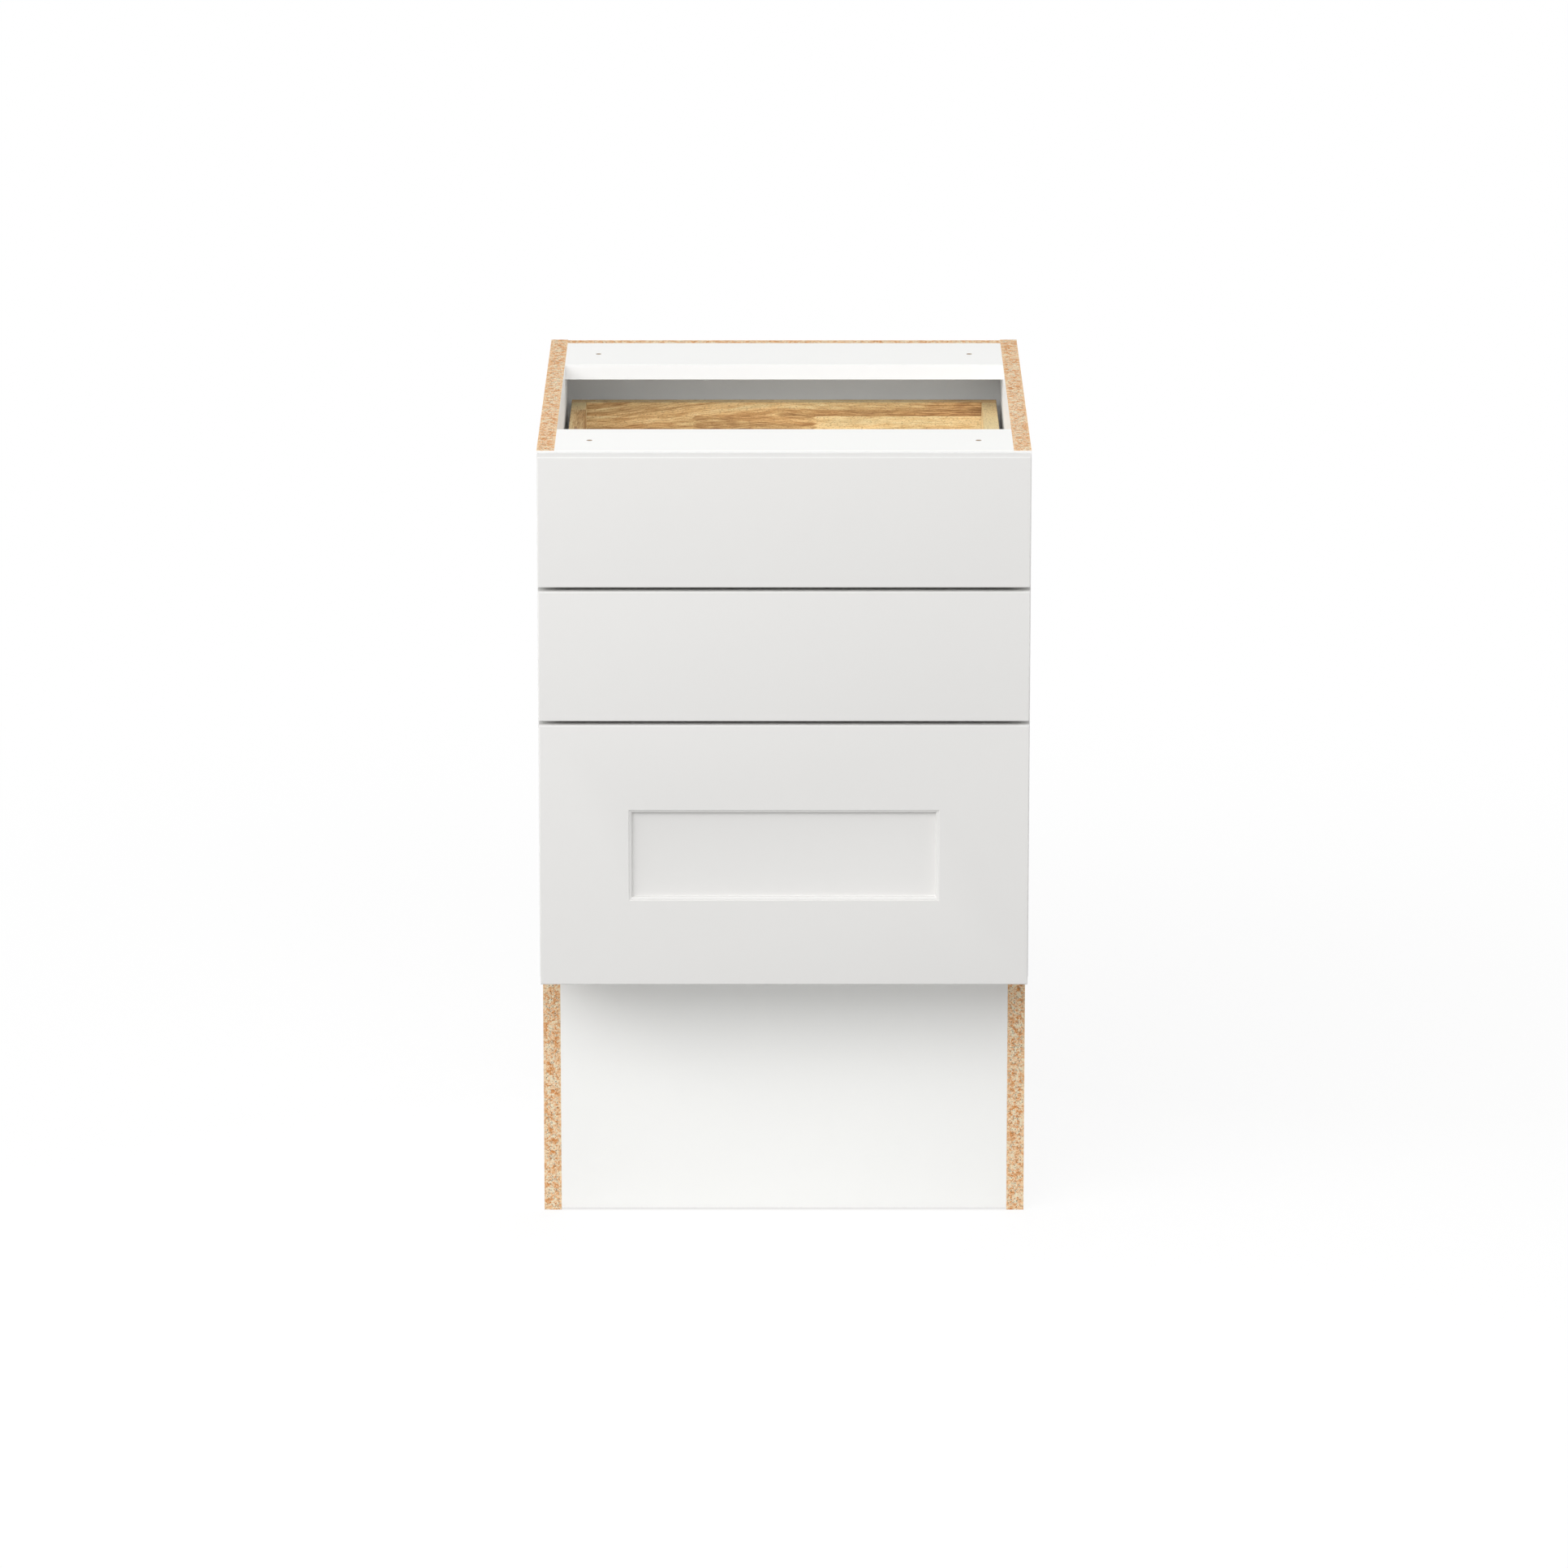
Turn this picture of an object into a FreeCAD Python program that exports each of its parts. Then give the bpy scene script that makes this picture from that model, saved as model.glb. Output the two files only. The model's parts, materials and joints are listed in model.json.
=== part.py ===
import FreeCAD, Part
import os
import Sketcher

# A frameless base cabinet with three drawers on a tall, recessed toe space.
# The part stands on its side panels, with its origin on the floor in the middle of its footprint.
# X runs to the right, Y to the back and Z up; the drawers open towards -Y. Sizes are in millimetres.

DRIVING_SIZES = [
    # carcass
    ("cabinet_width", 500, "over both side panels"),
    ("cabinet_height", 830, "floor to the bare top edges"),
    ("carcass_depth", 580, "side panel with its front edge band"),
    ("side_thickness", 18, "side panels"),
    ("bottom_thickness", 18, "bottom panel"),
    ("board_thickness", 16, "top rails, back panel and toe board"),
    ("band_thickness", 1, "front edge bands"),
    ("back_inset", 4, "back panel in from the rear edges of the sides"),
    ("floor_gap", 2, "toe board and back panel off the floor"),
    ("toe_height", 280, "toe space, floor to the bottom panel"),
    ("toe_depth", 100, "toe space, back from the carcass front"),
    ("front_rail_depth", 107, "flat rail behind the upper front"),
    ("rear_rail_depth", 118, "flat rail before the back panel"),
    ("worktop_hole_diameter", 6, "worktop fixing holes in both rails"),
    ("worktop_hole_inset", 34.5, "fixing holes in from the side panels"),
    ("front_hole_setback", 52, "front fixing holes behind the carcass front"),
    ("rear_hole_setback", 59, "rear fixing holes behind the rear rail's front edge"),
    # carcass fasteners
    ("screw_diameter", 7, "connecting screw"),
    ("screw_length", 50, "connecting screw with its head"),
    ("screw_head_diameter", 10, "connecting screw head"),
    ("screw_head_depth", 4, "connecting screw head, sunk in the side"),
    ("screw_socket_diameter", 4, "hexagon socket across flats"),
    ("screw_socket_depth", 3, "hexagon socket"),
    ("dowel_diameter", 8, "wooden dowel"),
    ("dowel_in_side", 12, "dowel's length inside the side panel"),
    ("dowel_in_board", 18, "dowel's length inside the board's end"),
    ("joint_inset", 45, "first connecting screw in the bottom panel from its ends"),
    ("dowel_step", 32, "from a dowel to the connecting screw beside it"),
    ("back_screw_inset", 70, "first back panel screw from the floor and from the top"),
    ("toe_screw_inset", 60, "toe board screws from the floor and from the bottom panel"),
    # fronts
    ("front_thickness", 19, "drawer fronts"),
    ("bumper_gap", 2, "between a closed front and the carcass"),
    ("side_reveal", 1, "fronts in from the cabinet's sides"),
    ("top_reveal", 2, "upper front below the cabinet's top"),
    ("front_gap", 4, "between two fronts"),
    ("front_overhang", 3, "lower front below the bottom panel"),
    ("small_front_height", 135, "upper and middle fronts"),
    ("front_edge_radius", 1.5, "rounded edge of the fronts"),
    ("stile_width", 91, "upright border of the sunk panel"),
    ("rail_width", 89, "level border of the sunk panel"),
    ("sunk_depth", 7, "sunk panel below the front's face"),
    ("bead_step", 1.2, "small step that starts the bead"),
    ("bead_width", 3.2, "ledge that the bead is rounded from"),
    ("bead_radius", 3, "quarter-round bead"),
    ("bumper_diameter", 8, "clear bumper"),
    ("bumper_height", 1.8, "clear bumper"),
    ("bumper_inset", 12, "bumper in from the front's upper and lower edge"),
    # drawer boxes
    ("box_clearance", 5, "between box and side panel"),
    ("box_board", 16, "box sides, front and back"),
    ("box_below_front_top", 53, "box's upper edge below the front's"),
    ("box_above_front_bottom", 6, "box's lower edge above the front's"),
    ("rear_clearance", 32, "between box and back panel"),
    ("base_recess", 13, "box bottom above the box's lower edge"),
    ("base_thickness", 9, "box bottom"),
    ("groove_depth", 8, "groove for the box bottom"),
    ("groove_slack", 0.5, "play at the end of the groove"),
    ("shallow_tails", 3, "dovetails at each corner of a shallow box"),
    ("deep_tails", 7, "dovetails at each corner of the deep box"),
    ("pin_width", 6, "pin between two tails, at its narrow end"),
    ("tail_flare", 2.3, "each flank of a tail, over the thickness of the board"),
    ("front_screw_diameter", 4, "screw that holds the front on the box"),
    ("front_screw_length", 28, "its shank"),
    ("front_screw_head", 9, "its washer head"),
    ("front_screw_head_height", 2.5, "its washer head"),
    ("front_screw_inset", 21, "in from the inside of the box"),
    ("front_screw_rise", 14, "from the box bottom and from the box's upper edge"),
    # drawer slides
    ("slide_steel", 1.2, "sheet of the slides"),
    ("slide_setback", 3, "cabinet rail behind the carcass front"),
    ("slide_end_gap", 5, "cabinet rail short of the box's back"),
    ("slide_below_box", 6, "underside of the cabinet rail below the box"),
    ("flange_rise", 22, "wall flange above the box's lower edge"),
    ("slide_gap", 3, "drawer rail in from the box's side"),
    ("notch_wall", 2, "left between the box's side and the notch over a slide"),
    ("drawer_rail_width", 20, "outer channel"),
    ("drawer_rail_lift", 1, "outer channel above the box's lower edge"),
    ("runner_width", 10, "middle channel"),
    ("runner_drop", 4, "middle channel's top below the box bottom"),
    ("runner_hang", 2.5, "middle channel below the box's lower edge"),
    ("runner_short", 28, "middle channel short of the box's back"),
    ("runner_lead", 2, "middle channel and track behind the clip"),
    ("track_width", 3, "upright track of the cabinet rail"),
    ("track_drop", 6.5, "track's top below the box bottom"),
    ("lower_slide_gap", 3, "lowest slides above the bottom panel"),
    ("clip_tongue", 6, "locking clip in front of the drawer rail"),
    ("clip_width", 48, "locking clip across the drawer"),
    ("clip_length", 48, "locking clip along the drawer"),
    ("slide_screw_diameter", 6, "slide screw"),
    ("slide_screw_depth", 12, "slide screw inside the side panel"),
    ("slide_screw_head", 9, "slide screw head"),
    ("slide_screw_head_height", 1.8, "slide screw head"),
    ("slide_screw_rise", 9, "above the box's lower edge"),
    ("slide_screw_setback", 37, "first slide screw behind the carcass front"),
    ("slide_screw_rear_inset", 38, "last slide screw in from the cabinet rail's rear end"),
]

BACK_SCREWS = 4          # in each rear joint
SLIDE_SCREWS = 3         # in each cabinet rail
TOUCH = 0.01             # two levels that are this close are one

document = FreeCAD.newDocument("BaseCabinet")
sheet = document.addObject("Spreadsheet::Sheet", "Sizes")


class Size:
    """A length that keeps its formula, so that a feature can be bound to the sheet's cells."""

    def __init__(self, value, formula=None):
        self.value = value
        self.formula = formula or repr(value)

    def joined(self, sign, other, value):
        return Size(value, f"({self.formula} {sign} {other.formula})")

    def __add__(self, other):
        other = sized(other)
        return self.joined("+", other, self.value + other.value)

    def __sub__(self, other):
        other = sized(other)
        return self.joined("-", other, self.value - other.value)

    def __mul__(self, number):
        return Size(self.value * number, f"({self.formula} * {number!r})")

    def __truediv__(self, number):
        return Size(self.value / number, f"({self.formula} / {number!r})")

    def __neg__(self):
        return self * -1

    __radd__ = __add__
    __rmul__ = __mul__


def sized(number):
    return number if isinstance(number, Size) else Size(number)


def fill_sheet():
    """Writes name, value and note of every driving size, and gives each value its alias."""
    sizes = {}
    for row, (name, value, note) in enumerate(DRIVING_SIZES, start=1):
        sheet.set(f"A{row}", name)
        sheet.set(f"B{row}", str(value))
        sheet.set(f"C{row}", note)
        sheet.setAlias(f"B{row}", name)
        sizes[name] = Size(value, f"Sizes.{name}")
    document.recompute()
    return sizes


class Named:
    """The driving sizes, each by its name."""

    def __init__(self, sizes):
        self.__dict__.update(sizes)


S = Named(fill_sheet())


# The sketch planes of a body: their two axes, and the axis that a feature on them runs along.
PLANES = {"XY_Plane": "xyz", "XZ_Plane": "xzy", "YZ_Plane": "yzx"}

pieces = []


def runs_with_normal(plane):
    """The normal of the XZ plane points against the axis that its features run along."""
    return plane != "XZ_Plane"


def bind(thing, name, size):
    thing.setExpression(name, sized(size).formula)


class Piece:
    """One piece, as a body whose Placement is its corner.

    Its features are given in cabinet coordinates: x from the middle, y back from the carcass's
    front edges, z up from the floor.
    """

    def __init__(self, label, x=0, y=0, z=0):
        self.body = document.addObject("PartDesign::Body", label)
        self.body.Label = label
        self.body.AllowCompound = True
        self.corner = {"x": sized(x), "y": sized(y), "z": sized(z)}
        for axis, size in self.corner.items():
            place = size + carcass_front if axis == "y" else size
            bind(self.body, f"Placement.Base.{axis}", place)
        pieces.append(self.body)

    def sketch(self, plane, level):
        sketch = self.body.newObject("Sketcher::SketchObject", "Sketch")
        origin_planes = {feature.Role: feature for feature in self.body.Origin.OriginFeatures}
        sketch.AttachmentSupport = [(origin_planes[plane], "")]
        sketch.MapMode = "FlatFace"
        offset = sized(level) - self.corner[PLANES[plane][2]]
        bind(sketch, "AttachmentOffset.Base.z", offset if runs_with_normal(plane) else -offset)
        return sketch

    def local(self, plane, point):
        across, up = point
        across_axis, up_axis, _ = PLANES[plane]
        return sized(across) - self.corner[across_axis], sized(up) - self.corner[up_axis]

    def hold(self, sketch, edge, point, place):
        """Ties a point of an edge, 1 for its start or 3 for its centre, to the sketch's origin."""
        for kind, size in zip(("DistanceX", "DistanceY"), place):
            held = Sketcher.Constraint(kind, -1, 1, edge, point, size.value)
            bind(sketch, f"Constraints[{sketch.addConstraint(held)}]", size)

    def outline(self, plane, corners, level):
        sketch = self.sketch(plane, level)
        corners = [self.local(plane, corner) for corner in corners]
        spots = [FreeCAD.Vector(across.value, up.value, 0) for across, up in corners]
        for edge, spot in enumerate(spots):
            sketch.addGeometry(Part.LineSegment(spot, spots[(edge + 1) % len(spots)]), False)
        for edge, corner in enumerate(corners):
            following = (edge + 1) % len(corners)
            sketch.addConstraint(Sketcher.Constraint("Coincident", edge, 2, following, 1))
            self.hold(sketch, edge, 1, corner)
        return sketch

    def circles(self, plane, centres, diameter, level):
        sketch = self.sketch(plane, level)
        upright = FreeCAD.Vector(0, 0, 1)
        for edge, centre in enumerate(centres):
            across, up = self.local(plane, centre)
            spot = FreeCAD.Vector(across.value, up.value, 0)
            sketch.addGeometry(Part.Circle(spot, upright, diameter.value / 2), False)
            self.hold(sketch, edge, 3, (across, up))
            held = sketch.addConstraint(Sketcher.Constraint("Diameter", edge, diameter.value))
            bind(sketch, f"Constraints[{held}]", diameter)
        return sketch

    def run(self, kind, plane, sketch, length):
        feature = self.body.newObject(f"PartDesign::{kind}", kind)
        feature.Profile = sketch
        feature.Reversed = runs_with_normal(plane) == (kind == "Pocket")
        bind(feature, "Length", length)
        sketch.Visibility = False
        return feature

    def pad(self, plane, corners, start, end):
        start, length = ordered(start, end)
        return self.run("Pad", plane, self.outline(plane, corners, start), length)

    def cut(self, plane, corners, start, end):
        start, length = ordered(start, end)
        return self.run("Pocket", plane, self.outline(plane, corners, start), length)

    def rods(self, plane, centres, diameter, start, end):
        start, length = ordered(start, end)
        return self.run("Pad", plane, self.circles(plane, centres, diameter, start), length)

    def bores(self, plane, centres, diameter, start, end):
        start, length = ordered(start, end)
        return self.run("Pocket", plane, self.circles(plane, centres, diameter, start), length)

    def repeat_upwards(self, feature, pitch, count):
        """Repeats a feature along Z, as often as the count's cell says."""
        pattern = self.body.newObject("PartDesign::LinearPattern", "LinearPattern")
        axes = {axis.Role: axis for axis in self.body.Origin.OriginFeatures}
        pattern.Originals = [feature]
        pattern.Direction = (axes["Z_Axis"], [""])
        bind(pattern, "Length", pitch * (count.value - 1))
        bind(pattern, "Occurrences", count)
        self.body.Tip = pattern

    def round_edges(self, radius, level, least_reach, most_reach):
        """Rounds the edges that lie level in Y and reach this far from the middle in X."""
        document.recompute()
        base = self.body.Tip
        level = (sized(level) - self.corner["y"]).value
        middle = -self.corner["x"].value
        names = []
        for number, edge in enumerate(base.Shape.Edges, start=1):
            box = edge.BoundBox
            reach = max(abs(box.XMin - middle), abs(box.XMax - middle))
            off_level = max(abs(box.YMin - level), abs(box.YMax - level))
            if off_level < TOUCH and least_reach.value - TOUCH < reach < most_reach.value + TOUCH:
                names.append(f"Edge{number}")
        fillet = self.body.newObject("PartDesign::Fillet", "Fillet")
        fillet.Base = (base, names)
        bind(fillet, "Radius", radius)


def ordered(start, end):
    """The lower of two levels, and the distance between them."""
    start, end = sized(start), sized(end)
    if end.value < start.value:
        start, end = end, start
    return start, end - start


def rectangle(low_across, low_up, high_across, high_up):
    return [(low_across, low_up), (high_across, low_up), (high_across, high_up), (low_across, high_up)]


# Levels that the pieces share.

half_width = S.cabinet_width / 2
inner_half = half_width - S.side_thickness
carcass_front = (S.front_thickness + S.bumper_gap - S.carcass_depth) / 2
back_front = S.carcass_depth - S.back_inset - S.board_thickness
rear_rail_front = back_front - S.rear_rail_depth
rail_underside = S.cabinet_height - S.board_thickness
bottom_top = S.toe_height + S.bottom_thickness

front_back = -S.bumper_gap
front_face = front_back - S.front_thickness
front_half = half_width - S.side_reveal

box_half = inner_half - S.box_clearance
box_inner_half = box_half - S.box_board
box_front_inside = front_back + S.box_board
box_rear = back_front - S.rear_clearance
box_rear_inside = box_rear - S.box_board
member_front = box_front_inside + S.clip_tongue
cabinet_rail_rear = box_rear - S.slide_end_gap

SIDES = ("left", "right")


def towards(side):
    """Which way along X a side lies from the middle."""
    return -1 if side == "left" else 1


class Drawer:
    """The levels of one drawer, from those of its front."""

    def __init__(self, name, front_top, front_bottom, box_bottom, tails):
        self.name = name
        self.front_top = front_top
        self.front_bottom = front_bottom
        self.box_top = front_top - S.box_below_front_top
        self.box_bottom = box_bottom
        self.box_height = self.box_top - box_bottom
        self.tails = tails

    def slide_screws(self):
        level = self.box_bottom + S.slide_screw_rise
        first = S.slide_screw_setback
        last = cabinet_rail_rear - S.slide_screw_rear_inset
        step = (last - first) / (SLIDE_SCREWS - 1)
        return [(first + step * number, level) for number in range(SLIDE_SCREWS)]

    def front_screws(self):
        across = box_inner_half - S.front_screw_inset
        low = self.box_bottom + S.base_recess + S.base_thickness + S.front_screw_rise
        high = self.box_top - S.front_screw_rise
        return [(towards(side) * across, level) for side in SIDES for level in (low, high)]

    def bumpers(self):
        across = half_width - S.side_thickness / 2
        levels = (self.front_bottom + S.bumper_inset, self.front_top - S.bumper_inset)
        return [(towards(side) * across, level) for side in SIDES for level in levels]


def lay_out_drawers():
    upper_top = S.cabinet_height - S.top_reveal
    upper_bottom = upper_top - S.small_front_height
    middle_top = upper_bottom - S.front_gap
    middle_bottom = middle_top - S.small_front_height
    lower_top = middle_bottom - S.front_gap
    lower_bottom = S.toe_height - S.front_overhang
    lower_box = bottom_top + S.lower_slide_gap + S.slide_below_box
    lift = S.box_above_front_bottom
    return [
        Drawer("upper", upper_top, upper_bottom, upper_bottom + lift, S.shallow_tails),
        Drawer("middle", middle_top, middle_bottom, middle_bottom + lift, S.shallow_tails),
        Drawer("lower", lower_top, lower_bottom, lower_box, S.deep_tails),
    ]


drawers = lay_out_drawers()


# Carcass joints: centres of screws and dowels, as (y, z), where a board's end meets a side panel.

def bottom_joint():
    level = S.toe_height + S.bottom_thickness / 2
    rear = back_front - S.joint_inset
    screws = [(S.joint_inset, level), (back_front / 2, level), (rear, level)]
    dowels = [(S.joint_inset + S.dowel_step, level), (rear - S.dowel_step, level)]
    return screws, dowels


def rail_joint(middle):
    level = S.cabinet_height - S.board_thickness / 2
    return [(middle - S.dowel_step, level), (middle + S.dowel_step, level)], [(middle, level)]


def back_joint():
    middle = back_front + S.board_thickness / 2
    step = (S.cabinet_height - S.back_screw_inset * 2) / (BACK_SCREWS - 1)
    return [(middle, S.back_screw_inset + step * number) for number in range(BACK_SCREWS)], []


def toe_joint():
    middle = S.toe_depth + S.board_thickness / 2
    return [(middle, S.toe_screw_inset), (middle, S.toe_height - S.toe_screw_inset)], []


JOINTS = {
    "bottom_panel": bottom_joint(),
    "front_top_rail": rail_joint(S.front_rail_depth / 2),
    "rear_top_rail": rail_joint(rear_rail_front + S.rear_rail_depth / 2),
    "back_panel": back_joint(),
    "toe_board": toe_joint(),
}
all_screws = [centre for screws, dowels in JOINTS.values() for centre in screws]
all_dowels = [centre for screws, dowels in JOINTS.values() for centre in dowels]


# Carcass

def side_panel(side):
    """A side panel with the toe notch in its lower front corner and the holes of all its joints."""
    way = towards(side)
    outer, inner = way * half_width, way * inner_half
    panel = Piece(f"{side}_side_panel", x=outer)
    top, rear, front = S.cabinet_height, S.carcass_depth, S.band_thickness
    outline = [(front, S.toe_height), (S.toe_depth, S.toe_height), (S.toe_depth, 0),
               (rear, 0), (rear, top), (front, top)]
    panel.pad("YZ_Plane", outline, outer, inner)
    panel.bores("YZ_Plane", all_screws, S.screw_diameter, outer, inner)
    sunk = outer - way * S.screw_head_depth
    panel.bores("YZ_Plane", all_screws, S.screw_head_diameter, outer, sunk)
    panel.bores("YZ_Plane", all_dowels, S.dowel_diameter, inner, inner + way * S.dowel_in_side)
    slide_holes = [centre for drawer in drawers for centre in drawer.slide_screws()]
    slide_hole_end = inner + way * S.slide_screw_depth
    panel.bores("YZ_Plane", slide_holes, S.slide_screw_diameter, inner, slide_hole_end)


def carcass_board(name, y_range, z_range):
    """A board between the side panels, with its screw and dowel holes in both ends."""
    board = Piece(name, x=-inner_half, y=y_range[0], z=z_range[0])
    outline = rectangle(y_range[0], z_range[0], y_range[1], z_range[1])
    board.pad("YZ_Plane", outline, -inner_half, inner_half)
    screws, dowels = JOINTS[name]
    screw_reach = S.screw_length - S.side_thickness
    for way in map(towards, SIDES):
        end = way * inner_half
        board.bores("YZ_Plane", screws, S.screw_diameter, end, end - way * screw_reach)
        if dowels:
            board.bores("YZ_Plane", dowels, S.dowel_diameter, end, end - way * S.dowel_in_board)
    return board


def top_rail(name, front, rear, hole_setback):
    """A flat rail with two holes for fixing the worktop from below."""
    rail = carcass_board(name, (front, rear), (rail_underside, S.cabinet_height))
    across = inner_half - S.worktop_hole_inset
    holes = [(towards(side) * across, hole_setback) for side in SIDES]
    rail.bores("XY_Plane", holes, S.worktop_hole_diameter, rail_underside, S.cabinet_height)


def edge_band(name, x_range, y_front, z_range):
    band = Piece(name, x=x_range[0], y=y_front, z=z_range[0])
    outline = rectangle(x_range[0], z_range[0], x_range[1], z_range[1])
    band.pad("XZ_Plane", outline, y_front, y_front + S.band_thickness)


def make_carcass():
    for side in SIDES:
        side_panel(side)
    band, top = S.band_thickness, S.cabinet_height
    carcass_board("bottom_panel", (band, back_front), (S.toe_height, bottom_top))
    carcass_board("back_panel", (back_front, back_front + S.board_thickness), (S.floor_gap, top))
    carcass_board("toe_board", (S.toe_depth, S.toe_depth + S.board_thickness), (S.floor_gap, S.toe_height))
    top_rail("front_top_rail", band, S.front_rail_depth, S.front_hole_setback)
    top_rail("rear_top_rail", rear_rail_front + band, back_front, rear_rail_front + S.rear_hole_setback)
    edge_band("left_side_edge_band", (-half_width, -inner_half), 0, (S.toe_height, top))
    edge_band("right_side_edge_band", (inner_half, half_width), 0, (S.toe_height, top))
    edge_band("bottom_panel_edge_band", (-inner_half, inner_half), 0, (S.toe_height, bottom_top))
    edge_band("front_rail_edge_band", (-inner_half, inner_half), 0, (rail_underside, top))
    edge_band("rear_rail_edge_band", (-inner_half, inner_half), rear_rail_front, (rail_underside, top))


def make_carcass_fasteners():
    screws = Piece("carcass_screws")
    dowels = Piece("carcass_dowels")
    for way in map(towards, SIDES):
        outer, inner = way * half_width, way * inner_half
        neck = outer - way * S.screw_head_depth
        tip = outer - way * S.screw_length
        screws.rods("YZ_Plane", all_screws, S.screw_head_diameter, outer, neck)
        screws.rods("YZ_Plane", all_screws, S.screw_diameter, neck, tip)
        socket = outer - way * S.screw_socket_depth
        screws.bores("YZ_Plane", all_screws, S.screw_socket_diameter, outer, socket)
        start, end = inner + way * S.dowel_in_side, inner - way * S.dowel_in_board
        dowels.rods("YZ_Plane", all_dowels, S.dowel_diameter, start, end)
    bumpers = Piece("front_bumpers")
    centres = [centre for drawer in drawers for centre in drawer.bumpers()]
    bumpers.rods("XZ_Plane", centres, S.bumper_diameter, -S.bumper_height, 0)


# Drawer slides. Across, they are measured from the wall that they are screwed to.

def slide_axis():
    """Middle of the slide's channels, out from the side panel."""
    return S.box_clearance + S.box_board + S.slide_gap + S.drawer_rail_width / 2


class Slide:
    """One of a drawer's two slides: its side of the cabinet and its levels."""

    def __init__(self, drawer, side):
        self.drawer = drawer
        self.label = f"{drawer.name}_{side}"
        self.way = towards(side)
        self.wall = self.way * inner_half
        self.box_low = drawer.box_bottom
        self.box_base = drawer.box_bottom + S.base_recess

    def out(self, distance):
        return self.wall - self.way * distance

    def section(self, points):
        return [(self.out(distance), level) for distance, level in points]

    def channel(self, label, width, low, high, rear, front):
        """A channel of bent sheet, open downwards."""
        near, far = slide_axis() - width / 2, slide_axis() + width / 2
        steel = S.slide_steel
        points = [(near, low), (near, high), (far, high), (far, low), (far - steel, low),
                  (far - steel, high - steel), (near + steel, high - steel), (near + steel, low)]
        piece = Piece(label, x=self.wall, y=front, z=low)
        piece.pad("XZ_Plane", self.section(points), front, rear)

    def cabinet_rail(self):
        """Wall flange and web in one bent sheet, with the upright track on the web."""
        steel, far = S.slide_steel, slide_axis() + S.runner_width / 2
        low, rear = self.box_low - S.slide_below_box, cabinet_rail_rear
        rail = Piece(f"{self.label}_cabinet_rail", x=self.wall, y=S.slide_setback, z=low)
        angle = [(0, low), (far, low), (far, low + steel), (steel, low + steel),
                 (steel, self.box_low + S.flange_rise), (0, self.box_low + S.flange_rise)]
        rail.pad("XZ_Plane", self.section(angle), S.slide_setback, rear)
        near_track = slide_axis() - S.track_width / 2
        far_track = slide_axis() + S.track_width / 2
        track_top = self.box_base - S.track_drop
        track = [(near_track, low + steel), (near_track, track_top),
                 (far_track, track_top), (far_track, low + steel)]
        rail.pad("XZ_Plane", self.section(track), member_front + S.runner_lead, rear)
        centres = self.drawer.slide_screws()
        rail.bores("YZ_Plane", centres, S.slide_screw_diameter, self.wall, self.out(steel))

    def runner(self):
        low, high = self.box_low - S.runner_hang, self.box_base - S.runner_drop
        rear = box_rear - S.runner_short
        front = member_front + S.runner_lead
        self.channel(f"{self.label}_runner", S.runner_width, low, high, rear, front)

    def drawer_rail(self):
        low = self.box_low + S.drawer_rail_lift
        label = f"{self.label}_drawer_rail"
        self.channel(label, S.drawer_rail_width, low, self.box_base, box_rear, member_front)


def locking_clips(drawer):
    """The plastic clips that lock the box to its two drawer rails."""
    clips = Piece(f"{drawer.name}_locking_clips", z=drawer.box_bottom + S.drawer_rail_lift)
    low, high = drawer.box_bottom + S.drawer_rail_lift, drawer.box_bottom + S.base_recess
    near = slide_axis() - S.drawer_rail_width / 2
    beside = slide_axis() + S.drawer_rail_width / 2
    far, rear = near + S.clip_width, box_front_inside + S.clip_length
    for way in map(towards, SIDES):
        points = [(near, box_front_inside), (far, box_front_inside), (far, rear),
                  (beside, rear), (beside, member_front), (near, member_front)]
        outline = [(way * (inner_half - across), back) for across, back in points]
        clips.pad("XY_Plane", outline, low, high)


def make_slides():
    screws = Piece("slide_screws")
    for drawer in drawers:
        for side in SIDES:
            slide = Slide(drawer, side)
            slide.cabinet_rail()
            slide.runner()
            slide.drawer_rail()
            seat = slide.out(S.slide_steel)
            end = slide.wall + slide.way * S.slide_screw_depth
            top = slide.out(S.slide_steel + S.slide_screw_head_height)
            screws.rods("YZ_Plane", drawer.slide_screws(), S.slide_screw_diameter, end, seat)
            screws.rods("YZ_Plane", drawer.slide_screws(), S.slide_screw_head, seat, top)
        locking_clips(drawer)


# Drawer boxes: sides with dovetails, front and back with the sockets between their pins.

def tail(drawer, base, end):
    """The lowest dovetail, as (y, z), from its narrow base to the end of the board."""
    pitch = drawer.box_height / drawer.tails.value
    middle = drawer.box_bottom + pitch / 2
    wide = (pitch - S.pin_width) / 2
    narrow = wide - S.tail_flare
    return [(base, middle - narrow), (base, middle + narrow), (end, middle + wide), (end, middle - wide)]


def tail_pitch(drawer):
    return drawer.box_height / drawer.tails.value


CORNERS = {"front": (box_front_inside, front_back), "back": (box_rear_inside, box_rear)}


def groove_range():
    """How far the box bottom's groove runs, as a front, a rear and a half width."""
    reach = S.groove_depth
    return box_front_inside - reach, box_rear_inside + reach, box_inner_half + reach


def box_side(drawer, side):
    way = towards(side)
    outer, inner = way * box_half, way * box_inner_half
    board = Piece(f"{drawer.name}_box_{side}_side", x=outer, y=front_back, z=drawer.box_bottom)
    body = rectangle(box_front_inside, drawer.box_bottom, box_rear_inside, drawer.box_top)
    board.pad("YZ_Plane", body, outer, inner)
    for base, end in CORNERS.values():
        first = board.pad("YZ_Plane", tail(drawer, base, end), outer, inner)
        board.repeat_upwards(first, tail_pitch(drawer), drawer.tails)
    front, rear, half = groove_range()
    low = drawer.box_bottom + S.base_recess
    groove = rectangle(front, low, rear, low + S.base_thickness)
    board.cut("YZ_Plane", groove, inner, way * half)


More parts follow.
